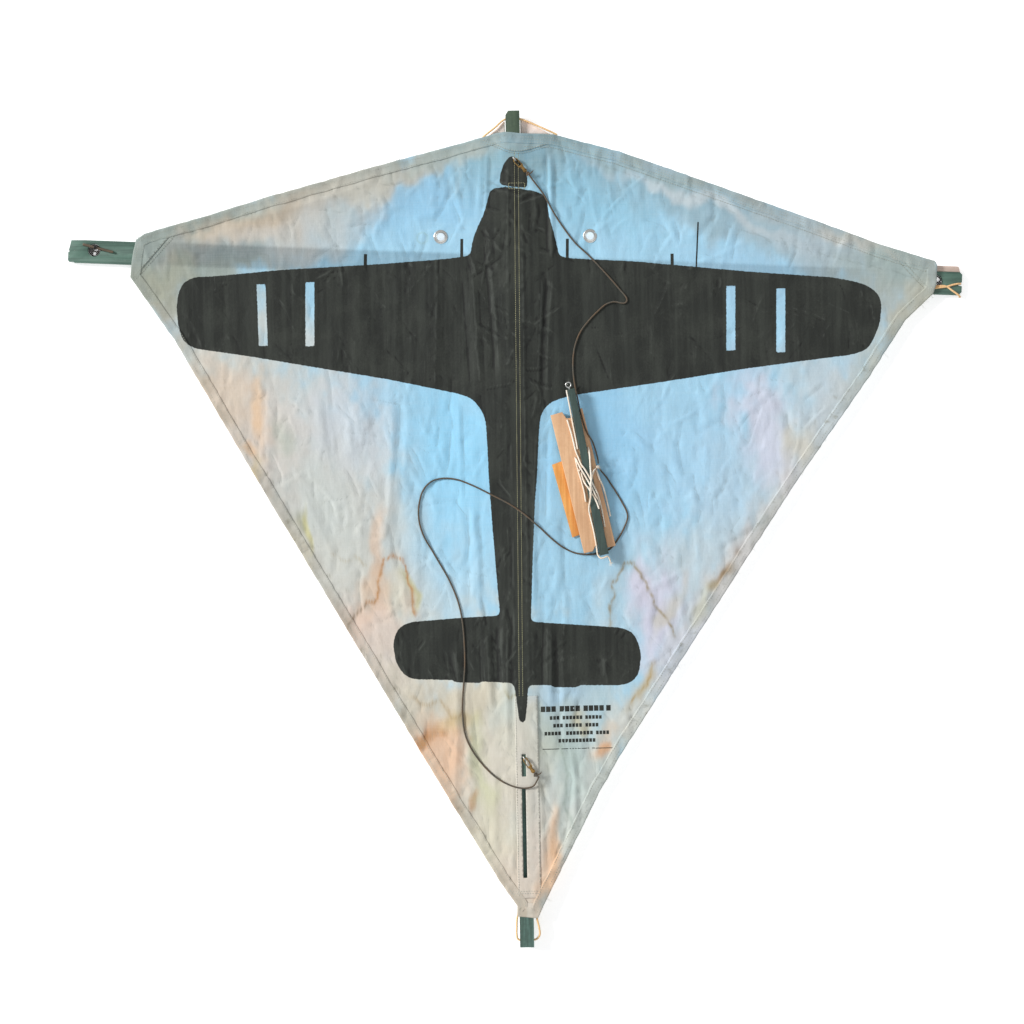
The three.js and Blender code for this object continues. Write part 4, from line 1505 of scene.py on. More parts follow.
# ------------------------------------------------------------------------------ studio
@dataclass
class Studio:
    """A pale floor, soft lights and a camera straight above.

    Attributes:
        middle: the point under the camera.
        distance: how far the camera stands off.
        view: the width that the camera takes in.
        roll: how the camera is turned.
    """

    middle: Point = (-13.4, 30.8)
    distance: float = 4000.0
    view: float = 1843.0
    roll: float = -1.021

    def build_camera(self) -> None:
        """Makes the camera and sets it as the scene's."""
        data = bpy.data.cameras.new("camera")
        data.sensor_width = 36.0
        data.lens = data.sensor_width * self.distance / self.view
        data.clip_end = 50.0
        camera = new_object("camera", data)
        camera.location = (self.middle[0] * MM, self.middle[1] * MM,
                           (self.distance + 18.0) * MM)
        camera.rotation_euler = (0, 0, math.radians(self.roll))
        bpy.context.scene.camera = camera

    def build_floor(self) -> None:
        """Makes the floor."""
        bpy.ops.mesh.primitive_plane_add(size=12.0, location=(0, 0, -0.0015))
        floor = bpy.context.object
        floor.name = "floor"
        material, build, main = blank_material("floor_white")
        build.feed(main, {"Base Color": (0.94, 0.94, 0.94, 1), "Roughness": 0.9,
                          "Emission Color": (1, 1, 1, 1), "Emission Strength": 0.5})
        floor.data.materials.append(material)

    def build_lights(self) -> None:
        """Makes the lights: one low and wide from the upper left, and soft fill."""
        world = bpy.data.worlds.new("soft_world")
        world.use_nodes = True
        sky = world.node_tree.nodes["Background"]
        sky.inputs["Color"].default_value = (0.97, 0.985, 1.0, 1)
        sky.inputs["Strength"].default_value = 0.40
        bpy.context.scene.world = world
        for name, place, soft, power in (("key", (-0.80, 0.34, 0.50), 14.0, 3.1),
                                         ("fill", (0.2, -0.5, 0.85), 60.0, 0.45)):
            data = bpy.data.lights.new(name, "SUN")
            data.angle = math.radians(soft)
            data.energy = power
            lamp = new_object(name, data)
            lamp.rotation_euler = (-Vector(place)).to_track_quat("-Z", "Y").to_euler()
        bpy.context.scene.view_settings.view_transform = "Standard"

    def build(self) -> None:
        """Builds the whole studio."""
        self.build_camera()
        self.build_floor()
        self.build_lights()


# ---------------------------------------------------------------------------- the sail
class Side(Enum):
    """The sail's four sides, each with the corners of its edge."""

    UPPER_RIGHT = (CORNERS["head"], SAIL_EDGE[3:11], CORNERS["right"])
    LOWER_RIGHT = (CORNERS["right"], SAIL_EDGE[11:21], CORNERS["tail"])
    LOWER_LEFT = (CORNERS["tail"], SAIL_EDGE[21:29], CORNERS["left"])
    UPPER_LEFT = (CORNERS["left"], SAIL_EDGE[29:] + SAIL_EDGE[:3], CORNERS["head"])

    def line(self, count: int, rough: float = 0.5) -> np.ndarray:
        """The side's edge, clockwise, a little uneven.

        Args:
            count: how many points it gets.
            rough: how uneven it is, in millimetres.

        Returns:
            The edge's points.
        """
        first, middle, last = self.value
        line = np.array([first, *middle, last], float)
        run = run_along(line)
        marks = np.linspace(0, run[-1], count)
        points = np.column_stack([np.interp(marks, run, line[:, k]) for k in (0, 1)])
        fade = np.minimum(1, 12 * np.minimum(marks, run[-1] - marks) / run[-1])
        for k in (0, 1):
            points[:, k] += fade * rough * value_noise(points[:, 0], points[:, 1], (13, 13),
                                                       131 + k, 2)
        return points


def inward_of(edge: np.ndarray, passes: int) -> np.ndarray:
    """The direction into the sail at each point of its edge.

    Args:
        edge: the edge's points, clockwise.
        passes: how many times the direction is evened out along the edge.

    Returns:
        The directions.
    """
    along = np.gradient(edge, axis=0)
    for _ in range(passes):
        along[1:-1] = (along[:-2] + along[1:-1] + along[2:]) / 3
    along /= np.linalg.norm(along, axis=1)[:, None]
    return np.column_stack([along[:, 1], -along[:, 0]])


@dataclass
class Sail:
    """The printed cotton sail with its hems, patches and stitching.

    Attributes:
        form: the sail's form.
        dye_and_shading: its colours, painted shade included.
        cells: how many cells its mesh has along each side.
        hem: the hem's width.
    """

    form: SailForm
    dye_and_shading: DyeAndShading
    cells: int = 300
    hem: float = 17.5

    def build_cloth(self) -> Piece:
        """Makes the cloth as one fine sheet. Returns it."""
        count = self.cells
        share = np.linspace(0, 1, count + 1)
        top, right = Side.UPPER_RIGHT.line(count + 1), Side.LOWER_RIGHT.line(count + 1)
        bottom = Side.LOWER_LEFT.line(count + 1)[::-1]
        left = Side.UPPER_LEFT.line(count + 1)[::-1]
        u, v = share[:, None, None], share[None, :, None]
        grid = ((1 - v) * top[:, None] + v * bottom[:, None] + (1 - u) * left[None]
                + u * right[None] - (1 - u) * (1 - v) * top[0] - u * (1 - v) * top[-1]
                - (1 - u) * v * bottom[0] - u * v * bottom[-1])
        flat = grid.reshape(-1, 2)
        z = self.form.at(flat[:, 0], flat[:, 1])
        sail = mesh_object("sail_cloth", np.column_stack([flat, z]),
                           grid_faces(count + 1, count + 1))
        self.cut_holes(sail)
        return sail

    def cut_holes(self, sail: Piece) -> None:
        """Cuts the eyelets' holes and the two slots.

        Args:
            sail: the cloth.
        """
        mesh = bmesh.new()
        mesh.from_mesh(sail.data)
        slots = [[(a, b), (c, b), (c, d), (a, d)] for a, b, c, d in (SLOT, SLIT)]
        for outline in slots:
            split_along(mesh, outline)
        x, y = middles(mesh).T
        gone = within(x, y, slots)
        for gx, gy in GROMMETS.values():
            gone |= np.hypot(x - gx, y - gy) < GROMMET_HOLE
        keep_faces(mesh, ~gone)
        mesh.to_mesh(sail.data)
        mesh.free()

    def build_hem(self, side: Side) -> Piece:
        """Makes one side's turned hem.

        Args:
            side: which side.

        Returns:
            The hem.
        """
        first, last = side.value[0], side.value[2]
        count = int(math.dist(first, last) / 3.6)
        edge = side.line(count)
        inward = inward_of(edge, 12)
        profile = [(-0.5, -0.6), (-1.3, 0.2), (-0.7, 1.1), (1.2, 1.5), (4.2, 1.15), (8.0, 1.3),
                   (self.hem - 3.4, 1.05), (self.hem - 1.2, 1.25), (self.hem, 0.95),
                   (self.hem + 0.5, 0.1)]
        rows = []
        for reach, lift in profile:
            wide = reach * (1 + 0.05 * value_noise(edge[:, 0], edge[:, 1], (40, 40), 141))
            place = edge + wide[:, None] * inward
            ripple = 0.22 * value_noise(place[:, 0], place[:, 1], (7, 7), 151) if lift > 0.5 else 0
            rows.append(np.column_stack([place, self.form.at(*place.T) + lift + ripple]))
        points = np.stack(rows, axis=1).reshape(-1, 3)
        return mesh_object("hem_" + side.name.lower(), points, grid_faces(count, len(profile)))

    def lifted(self, name: str, cloth: Piece, outlines: list[Points],
               lift: float, thick: float = 0.0) -> Piece:
        """Makes a piece that lies on the sail from the sail's own faces.

        Args:
            name: the piece's name.
            cloth: the sail's cloth.
            outlines: closed outlines that the piece fills.
            lift: how far its face stands above the sail.
            thick: its thickness, or 0 for a printed mark.

        Returns:
            The piece.
        """
        mesh = bmesh.new()
        mesh.from_mesh(cloth.data)
        corners = np.array([p for outline in outlines for p in outline], float)
        x, y = middles(mesh).T
        near = ((x > corners[:, 0].min() - 12) & (x < corners[:, 0].max() + 12)
                & (y > corners[:, 1].min() - 12) & (y < corners[:, 1].max() + 12))
        keep_faces(mesh, near)
        for outline in outlines:
            split_along(mesh, outline)
        keep_faces(mesh, within(*middles(mesh).T, outlines))
        bmesh.ops.translate(mesh, verts=mesh.verts, vec=(0, 0, lift * MM))
        data = bpy.data.meshes.new(name)
        mesh.to_mesh(data)
        mesh.free()
        made = new_object(name, data)
        if thick:
            apply_modifier(made, "SOLIDIFY", thickness=thick * MM, offset=-1)
        return made

    def build_stitching(self, name: str, lines: list[np.ndarray], lift: float,
                        pitch: float = 4.6, length: float = 3.3, thick: float = 0.42
                        ) -> Piece:
        """Sews rows of stitches along lines on the cloth.

        Args:
            name: the piece's name.
            lines: the rows, as points in the sail's plane.
            lift: how far the thread stands above the sail.
            pitch: the distance from one stitch to the next.
            length: a stitch's length.
            thick: the thread's radius.

        Returns:
            The stitches, as one piece.
        """
        places, ways = [], []
        for line in lines:
            marks = evenly([tuple(p) for p in line], pitch)
            places.append((marks[:-1] + marks[1:]) / 2)
            ways.append(np.diff(marks, axis=0))
        middle, way = np.vstack(places), np.vstack(ways)
        way /= np.linalg.norm(way, axis=1)[:, None]
        side = np.column_stack([-way[:, 1], way[:, 0]])
        ring = [(-0.5, 0, 0), *[(t, math.cos(a), math.sin(a)) for t in (-0.3, 0.3)
                                for a in (0, math.pi / 2, math.pi, 1.5 * math.pi)], (0.5, 0, 0)]
        corners = []
        for t, across, up in ring:
            flat = middle + t * length * way + across * thick * side
            sag = 0.9 * thick * (1 - min(1.0, 3.3 * (0.5 - abs(t))))
            z = self.form.at(*flat.T) + lift + up * thick - sag
            corners.append(np.column_stack([flat, z]))
        points = np.stack(corners, axis=1).reshape(-1, 3)
        faces = []
        for base in range(0, len(points), len(ring)):
            for k in range(4):
                a, b = 1 + k, 1 + (k + 1) % 4
                faces += [(base, base + b, base + a),
                          (base + a, base + b, base + b + 4, base + a + 4),
                          (base + 9, base + a + 4, base + b + 4)]
        return mesh_object(name, points, faces)

    def inset(self, side: Side, reach: float, trim: float = 0.02) -> np.ndarray:
        """A line inside the sail, along one side.

        Args:
            side: which side.
            reach: how far in it runs.
            trim: the share left off at each end.

        Returns:
            The line's points.
        """
        edge = side.line(240, 0.3)
        line = edge + reach * inward_of(edge, 6)
        cut = int(240 * trim) + int(reach / 8)
        return line[cut:-cut]

    def sew(self) -> list[Piece]:
        """Sews the hems, patches and the middle seam. Returns the rows of stitches."""
        rows = {"hem": [], "pale": []}
        for side in Side:
            rows["hem"] += [self.inset(side, 5.2), self.inset(side, self.hem - 2.6)]
        rows["hem"] += [self.inset(Side.UPPER_RIGHT, 22.5), self.inset(Side.UPPER_RIGHT, 9.5)]
        rows["hem"] += [np.array(line, float) for line in PATCH_SEAMS]
        rows["pale"] += [np.array(line, float) for line in MIDDLE_SEAMS]
        hem = self.build_stitching("stitches_hem", rows["hem"], 1.25)
        pale = self.build_stitching("stitches_middle", rows["pale"], 0.2, 3.9, 3.2, 0.5)
        return [hem, pale]

    def build(self, looks: "Looks") -> list[Piece]:
        """Builds and dresses the sail with all that is sewn to it or printed on it.

        Args:
            looks: the materials.

        Returns:
            The cloth and every other piece.
        """
        cloth = self.build_cloth()
        marks = [self.lifted("printed_marks", cloth, printed_bars(), 0.16)]
        patches = [self.lifted(name, cloth, outlines, 0.75, 0.6)
                   for name, outlines in PATCHES.items()]
        hems = [self.build_hem(side) for side in Side]
        threads = self.sew()
        for piece in [cloth, *patches, *hems]:
            self.dye_and_shading.dress(piece)
            looks.dress(piece, "cloth")
        for piece in patches:
            self.dull(piece)
        self.dye_and_shading.dress(marks[0], inked=-20.0)
        looks.dress(marks[0], "cloth")
        for piece in threads:
            looks.dress(piece, "thread" if piece.name.endswith("hem") else "pale_thread")
        for piece in patches:
            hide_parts(PATCH_NODES[piece.name])
        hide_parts("sail")
        fibres = self.build_fibres()
        looks.dress(fibres, "thread")
        for piece in [cloth, *marks, *patches, *hems, *threads, fibres]:
            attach(piece, "root")
        return [cloth, *marks, *patches, *hems, *threads, fibres]

    @staticmethod
    def dull(patch: Piece) -> None:
        """Greys the colours stored on a patch, because doubled cloth has faded another way."""
        data = patch.data.attributes["dye_and_shading"].data
        flat = np.empty(len(data) * 4, np.float32)
        data.foreach_get("color", flat)
        flat = flat.reshape(-1, 4)
        tone = ((214, 206, 196) if patch.name.startswith(("patch_tail", "tape_slot"))
                else (190, 186, 172) if patch.name.startswith("hem_lower")
                else (160, 172, 166))
        flat[:, :3] += 0.38 * (np.array(linear(*tone)) - flat[:, :3])
        data.foreach_set("color", flat.ravel())

    def build_fibres(self) -> Piece:
        """Makes the threads that have frayed out of the edges. Returns them as one piece."""
        rng = np.random.default_rng(77)
        tufts = []
        for k, side in enumerate(Side):
            edge = side.line(200)
            for spot in rng.choice(np.arange(6, 194), 13, replace=False):
                x, y = edge[spot]
                way = edge[spot + 1] - edge[spot - 1]
                lean = math.degrees(math.atan2(way[1], way[0])) + 90 + rng.normal(0, 25)
                z = float(self.form.at(x, y)) + 0.4
                tufts.append(frayed("tuft", (x, y, z), lean, int(rng.integers(1, 4)),
                                    rng.uniform(5, 15), 300 + 40 * k + int(spot), 30, 0.2))
        return joined("edge_fibres", tufts)


PATCHES = {
    "patch_head": [[(-75, 730), (-75, 703), (-50, 698), (-36, 693), (-16, 683), (-2, 679),
                    (13, 678), (31, 682), (65, 692), (90, 700), (90, 730)]],
    "patch_left_tip": [[(-720, 426), (-600, 562), (-600, 620), (-760, 620), (-760, 426)]],
    "patch_right_tip": [[(830, 385), (830, 600), (670, 600), (670, 513), (765, 385)]],
    "patch_tail": [[(-60, -672), (60, -672), (60, -720), (-60, -720)]],
    "tape_slot": [[(-15, -300), (-15, -664), (27, -664), (27, -300)]],
}
PATCH_NODES = {"patch_head": "head_patch", "patch_left_tip": "left_tip_patch",
               "patch_right_tip": "right_tip_patch", "patch_tail": "tail_patch",
               "tape_slot": "slot_tape"}
PATCH_SEAMS = [
    [(-62, 697), (-36, 690), (-16, 680), (-2, 676), (13, 675), (31, 679), (66, 689)],
    [(-60, 701), (-36, 694.5), (-16, 684.5), (-2, 680.5), (13, 679.5), (31, 683.5), (64, 693)],
    [(-13, -305), (-13, -660)], [(25, -305), (25, -660)], [(-28, -655), (24, -655)],
    [(-30, -651), (26, -651)], [(-690, 462), (-603, 561)], [(-684, 462), (-598, 556)],
    [(673, 488), (752, 402)], [(678, 492), (755, 407)],
]
MIDDLE_SEAMS = [
    [(3.2, 706), (1.4, 610), (-6.6, -344)], [(9.6, 704), (8.6, 610), (-0.3, -344)],
    [(-9, 622), (20, 622)], [(-9, 612), (20, 612)], [(-9, 622), (-9, 612)],
    [(20, 622), (20, 612)],
]
# Each plain bar's row: height of its middle, its thickness, and where each dash runs.
BAR_ROWS = [
    (-325, 10.0, [(32, 62), (66, 104), (109, 146), (150, 159)]),
    (-341, 6.5, [(48, 66), (71, 107), (112, 147)]),
    (-355, 6.5, [(54, 71), (76, 107), (112, 140)]),
    (-369, 6.5, [(38, 72), (77, 126), (131, 158)]),
    (-382.5, 6.5, [(63, 131)]),
    (-397, 1.3, [(34, 64), (68, 118), (123, 164)]),
]


def printed_bars() -> list[Points]:
    """The outlines of the plain printed bars: short uprights and rows of dashes."""
    shapes = []
    for (ax, ay), (bx, by), half in BARRELS:
        shapes.append([(ax - half, ay), (ax + half, ay), (bx + half, by), (bx - half, by)])
    for middle, thick, dashes in BAR_ROWS:
        low, high = middle - thick / 2, middle + thick / 2
        for left, right in dashes:
            pitch = 0.95 * thick if thick > 2 else right - left
            wide = pitch - 1.5 if thick > 2 else pitch
            for start in np.arange(left, right - wide + 0.1, pitch):
                shapes.append([(start, low), (start + wide, low), (start + wide, high),
                               (start, high)])
    return shapes


# ----------------------------------------------------------------------------- finishes
class Looks:
    """Every material of the kite, by a short name."""

    def __init__(self) -> None:
        """Builds the shared effects and every finish."""
        effects = Effects()
        finishes = {
            "cloth": ClothFinish("printed_cotton", (35, 38, 34), (62, 66, 60)),
            "lining": CordFinish("lining_cotton", (252, 236, 228), (232, 212, 200), 0.2),
            "thread": CordFinish("faded_thread", (186, 190, 180), (150, 150, 132), 0.3),
            "pale_thread": CordFinish("pale_thread", (186, 182, 138), (140, 138, 108), 0.3),
            "head_paint": WoodFinish("stick_paint_head", (86, 104, 82), (50, 66, 54),
                                     (176, 160, 132), 0.12, "Y", 0.5, 0.6, (98, 132, 122)),
            "spar_paint": WoodFinish("stick_paint_spar", (94, 126, 112), (60, 84, 74),
                                     (196, 190, 170), 0.22, "X", 0.5, 0.7),
            "bar_paint": WoodFinish("bar_paint", (70, 90, 84), (44, 58, 54), (120, 120, 104),
                                    0.1, "Y", 0.45, 0.5),
            "bare": WoodFinish("bare_wood", (226, 204, 190), (188, 164, 150), (236, 220, 204),
                               0.2, "X", 0.7, 0.7),
            "peg": WoodFinish("peg_wood", (120, 104, 84), (70, 58, 46), (160, 140, 110), 0.2,
                              "X", 0.6, 0.8),
            "batten": WoodFinish("batten_wood", (250, 184, 104), (214, 138, 62),
                                 (252, 204, 136), 0.2, "Y", 0.5, 0.8),
            "board": WoodFinish("board_wood", (234, 190, 148), (204, 156, 116),
                                (244, 208, 170), 0.25, "Y", 0.6, 0.6),
            "steel": MetalFinish("plated_steel", (214, 214, 210), (136, 130, 118), 0.5, 0.28),
            "bright": MetalFinish("bright_steel", (232, 232, 228), (170, 166, 156), 0.35, 0.2),
            "dark_steel": MetalFinish("dark_steel", (96, 92, 84), (52, 46, 38), 0.7, 0.4),
            "brass": MetalFinish("aged_brass", (176, 140, 84), (70, 54, 38), 0.95, 0.32),
            "guy": CordFinish("guy_cord", (255, 208, 156), (232, 170, 112)),
            "bridle": CordFinish("bridle_cord", (84, 80, 70), (104, 80, 56), 0.35),
            "line": CordFinish("control_cord", (255, 244, 224), (244, 218, 184)),
            "lashing": CordFinish("dark_cord_and_hole_shade", (34, 32, 30), (52, 44, 38), 0.2),
        }
        self.materials = {key: finish.make(effects) for key, finish in finishes.items()}

    def dress(self, piece: Piece, look: str) -> None:
        """Gives a piece one of the materials.

        Args:
            piece: the piece.
            look: the material's short name.
        """
        piece.data.materials.clear()
        piece.data.materials.append(self.materials[look])

    def finish(self, piece: Piece, look: str, slot: str, body: str, *nodes: str) -> Piece:
        """Dresses a piece, hangs it on its body and hides the frame nodes that it replaces.

        Args:
            piece: the piece.
            look: its material's short name.
            slot: what it is made of; not used.
            body: the body that it rides on.
            nodes: the frame nodes that it replaces.

        Returns:
            The piece.
        """
        self.dress(piece, look)
        if nodes:
            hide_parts(*nodes)
        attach(piece, body)
        return piece


# ------------------------------------------------------------------- the free cords
BRIDLE_UPPER = [
    (27.2, 636.6, 2.6), (31.5, 630.5, 2.2), (42, 616.5, 0.6), (54, 600, 0), (67, 575, 0),
    (86, 544, 0),
    (109, 513, 0), (134, 489, 0), (157, 464, 0), (177, 441, 0), (191, 424, 0),
    (198.5, 414.5, 0), (200.5, 408, 0), (196.5, 403.2, 0), (189, 403.5, 0), (178, 406, 0),
    (163, 402, 0), (147, 389, 0), (131, 373, 0), (115, 352, 0), (104.5, 325, 0),
    (101, 296, 0), (102, 270, 0), (105.5, 247, 0), (108.4, 232, 1.8), (109.9, 222.2, 5.4)]
BRIDLE_LOWER = [
    (144.9, 105.9, 10.4), (150.5, 99, 5.6), (158, 90, 1), (165, 79, 0), (176, 61, 0),
    (186, 43, 0), (193, 28, 0), (194.5, 17, 0), (188, -1, 0), (176, -22, 0), (163, -38, 0),
    (150, -44.5, 0), (136, -47.5, 0), (116, -47.5, 0), (98, -44.5, 0), (78, -35, 0),
    (57, -18.5, 0), (36, 2, 0), (9, 26, 0), (-16, 44, 0), (-51, 63, 0), (-84, 80, 0),
    (-112, 91, 0), (-138, 93.5, 0), (-158, 88, 0), (-173, 72, 0), (-181, 44, 0),
    (-181, 18, 0), (-173, -10, 0), (-154, -44, 0), (-125, -98, 0), (-109, -147, 0),
    (-103, -230, 0), (-109, -332, 0), (-102, -377, 0), (-75, -422, 0), (-40, -453, 0.6),
    (-4, -465.5, 1), (16, -462, 1.5), (23.2, -451.5, 3), (26.6, -444.6, 2.8)]
ON_BOARD = [
    (24.4, 128, 7.4), (24.5, 121, 8.3), (24.9, 108, 8.3), (25.6, 92, 8.3), (27.6, 80, 8.4),
    (30.6, 71, 7.6), (33.4, 62, 4), (34.6, 50, 2.4), (35, 38, 2.6), (34.6, 29, 5),
    (33.4, 23.6, 7.4)]
LINE_RUNS = {
    "eye": [(9, 164.6, 11.5), (8.4, 150, 10.5), (7.5, 128, 8.9), (6.5, 112, 8.4),
            (5.5, 90, 8.4), (4.5, 70, 8.4), (3.6, 57, 8.4)],
    "notch": [(-2.2, 113, 8.6), (-1.4, 100, 8.4), (-0.6, 85, 8.4), (-0.6, 70, 8.4),
              (-0.5, 54, 8.4), (1.2, 42, 9.4), (1.6, 35, 14.5), (2.6, 29, 18), (6, 21, 18.6),
              (11, 5, 18.3), (14.8, -12, 18.3), (18.6, -28, 17), (20, -40, 11), (20, -56, 8.4),
              (19, -76, 8.4), (17.8, -90, 8.4)],
    "cross": [(22.4, 56, 10), (22.2, 48, 14), (20.5, 38, 20), (17.5, 22, 21.9), (13.8, 0, 21.9),
              (9, -20, 21.9), (3.8, -35, 20.8), (0.4, -43, 18.8), (-2.2, -51, 13.5),
              (-3, -61, 8.8), (-3, -88, 8.4), (-4, -110, 8.4), (-5.4, -126, 8.6),
              (-6.2, -136, 10), (-2.6, -142.6, 11.4), (5, -143, 12), (10.5, -142, 12)],
    "left": [(-4.4, 44, 8.4), (-4.6, 20, 8.4), (-3.4, -2, 8.4), (-3.2, -20, 8.4),
             (-4.6, -38, 8.4)],
    "low": [(0, 15, 8.4), (0, 5, 10), (0.4, -2, 15), (2, -8, 18.1), (5, -15, 18.6),
            (9.5, -28, 18.3), (13.4, -42, 18.3), (15, -56, 18.3)],
    "right": [(27.4, 12.4, 8.4), (29, -3, 8.8), (31.8, -18, 8.4), (33, -36, 4.6),
              (33, -56, 2.4), (32.6, -74, 2.4)],
}
HOLE_MIDDLES = {"left": (-758.7, 516.5), "right": (759.0, 433.5)}
# Arcs of the dark mat in each spar hole, as radius and spans in degrees: painted shade, with a gap for
# a painted glint.
HOLE_SHADE_TURNS = ((9.8, ((0, 354),)), (7.2, ((92, 248), (284, 374))),
              (4.6, ((102, 236), (300, 364))), (2.0, ((110, 350),)))
EXTRA_RUNS = {
    "twin": [(-3.4, 41, 9), (-2.2, 32, 14), (-0.6, 24, 18.6), (3, 12, 20.4), (7.4, -3, 20.6),
             (11.6, -18, 20.4), (14.6, -31, 19), (17.2, -40, 14), (17.4, -50, 9.4)],
    "over": [(26.6, 15.5, 9.4), (22.6, 12.6, 14.4), (17.6, 6, 19.6), (13, -3, 22.6),
             (9.2, -13, 23.6), (6.4, -24, 23), (4.4, -34, 21.6)],
}
GUY_LINES = {
    "head": [(-57, 703, 16.6), (-48.5, 710.5, 17.6), (-31, 724, 17.4), (-20.5, 733.5, 16.5),
             (-13, 738, 16.2), (13, 738, 16.2), (24, 734.5, 16.4), (46, 724.5, 17),
             (71, 713, 17.2), (80, 708.5, 15.6)],
    "tail": [(-15, -690, 16.5), (-17.5, -703, 18.4), (-18.2, -717, 18), (-18.4, -730, 17),
             (-16.5, -738, 16.2),
             (-12, -740, 16.2), (12, -740, 16.2), (18, -738, 16.2), (23, -731, 16.8),
             (22.4, -719, 18), (19.5, -706, 18.6), (17, -692, 16.5)],
}
TIE_STRANDS = {
    "notch": [(751, 420.5, 11.6), (762, 421.5, 11.7), (777, 423, 11.7), (790, 426.5, 11.7),
              (799, 427.8, 11.6), (802.6, 428, 9.5), (803, 428, 6), (803, 428, 2.2)],
    "edge": [(751, 424.2, 11.6), (762, 424.5, 11.7), (776, 423.6, 11.7), (787, 416, 11.7),
             (797, 408.5, 11.6), (801, 405.2, 10), (801.8, 404.7, 6), (801.8, 404.7, 2.2)],
}


def length_of(path: np.ndarray) -> float:
    """A path's length, in metres."""
    return float(run_along(path)[-1] * MM)


@dataclass
class BundlePlace:
    """Where the control bundle lies: across its board, along it and up from its back.

    Attributes:
        at: the board's middle.
        yaw: its turn, in degrees.
        across, along: how its two directions climb.
    """

    at: tuple = (115.2, 85.0, 20.7)
    yaw: float = 12.7
    across: float = -0.03
    along: float = 0.006

    def matrix(self) -> Matrix:
        """The bundle's own frame, in millimetres."""
        turn = Matrix.Rotation(math.radians(self.yaw), 3, "Z")
        x = (turn @ Vector((1, 0, self.across))).normalized()
        y = turn @ Vector((0, 1, self.along))
        z = x.cross(y).normalized()
        y = z.cross(x)
        made = Matrix((x, y, z)).transposed().to_4x4()
        made.translation = self.at
        return made

    def points(self, route: Points) -> Points:
        """Carries a route from the bundle's frame to the kite's."""
        matrix = self.matrix()
        return [tuple(matrix @ Vector(p)) for p in route]


@dataclass
class Cords:
    """The bridle, the wound control line, the guy lines and the tip tie.

    Attributes:
        form: the sail that the bridle lies on.
        place: where the bundle lies.
        bridle: the bridle's radius.
        line: the control line's radius.
        guy: the guy line's radius.
        tie: the tip tie's radius.
    """

    form: SailForm
    place: BundlePlace
    bridle: float = 1.5
    line: float = 1.6
    guy: float = 1.9
    tie: float = 1.8

    def laid(self, route: Points, spacing: float = 1.3) -> np.ndarray:
        """Lays a route over the sail.

        Args:
            route: its points, with how far each one is lifted off the cloth.
            spacing: the distance between the path's points.

        Returns:
            The path's points.
        """
        path = smooth_path(route, spacing)
        x, y, up = path.T
        reach = 1.6
        floor = np.maximum.reduce([self.form.at(x + dx * reach, y + dy * reach)
                                   for dx, dy in ((0, 0), (1, 0), (-1, 0), (0, 1), (0, -1))])
        padded = np.pad(floor, 4, mode="edge")
        floor = np.maximum.reduce([padded[k:k + len(floor)] for k in range(9)])
        for _ in range(10):
            floor[1:-1] = (floor[:-2] + 2 * floor[1:-1] + floor[2:]) / 4
        lifted = up + 1.35 * np.clip(up / 2, 0, 1)
        return np.column_stack([x, y, floor + self.bridle + 0.1 + lifted])

    def declare(self, piece: Piece, path: np.ndarray) -> None:
        """Logs a cord's name and length.

        Args:
            piece: the cord.
            path: its middle line.
        """
        LOG.info("%s: %.3f m of cord", piece.name, length_of(path))

    def build_bridle(self, looks: Looks) -> list[Piece]:
        """Makes the bridle's two stretches. Returns them."""
        upper = self.laid(BRIDLE_UPPER)
        board = smooth_path([tuple(upper[-1]), *self.place.points(ON_BOARD)], 1.3)
        upper = np.vstack([upper[:-1], board])
        for _ in range(3):
            upper[1:-1] = (upper[:-2] + 2 * upper[1:-1] + upper[2:]) / 4
        lower = self.laid(BRIDLE_LOWER)
        made = []
        for name, path in (("bridle_cord_upper", upper), ("bridle_cord_lower", lower)):
            piece = rope(name, path, 2 * self.bridle)
            looks.dress(piece, "bridle")
            made.append(piece)
        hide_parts("bridle_upper", "bridle_on_board")
        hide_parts("bridle_lower")
        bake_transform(made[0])
        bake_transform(made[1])
        self.declare(made[0], upper)
        self.declare(made[1], lower)
        return made

    def build_lines(self, looks: Looks) -> list[Piece]:
        """Makes the runs of the control line round the board. Returns them."""
        made = []
        for name, route in {**LINE_RUNS, **EXTRA_RUNS}.items():
            path = smooth_path(self.place.points(route), 1.2)
            piece = rope("control_cord_" + name, path, 2 * self.line)
            nodes = ["control_line_" + name] if name in LINE_RUNS else []
            looks.finish(piece, "line", "control_cord", "bundle", *nodes)
            self.declare(piece, path)
            made.append(piece)
        return made

    def build_guys(self, looks: Looks) -> list[Piece]:
        """Makes the guy lines at the nose and tail and the tie at the tip. Returns them."""
        made = []
        for name, route, radius, node in (
                *((f"guy_cord_{k}", r, self.guy, f"guy_line_{k}") for k, r in GUY_LINES.items()),
                *((f"tie_strand_{k}", r, self.tie, "tip_tie") for k, r in TIE_STRANDS.items())):
            path = smooth_path(route, 1.2)
            piece = rope(name, path, 2 * radius, 3, 3.6)
            looks.finish(piece, "guy", "guy_cord", "root", node)
            self.declare(piece, path)
            made.append(piece)
        return made


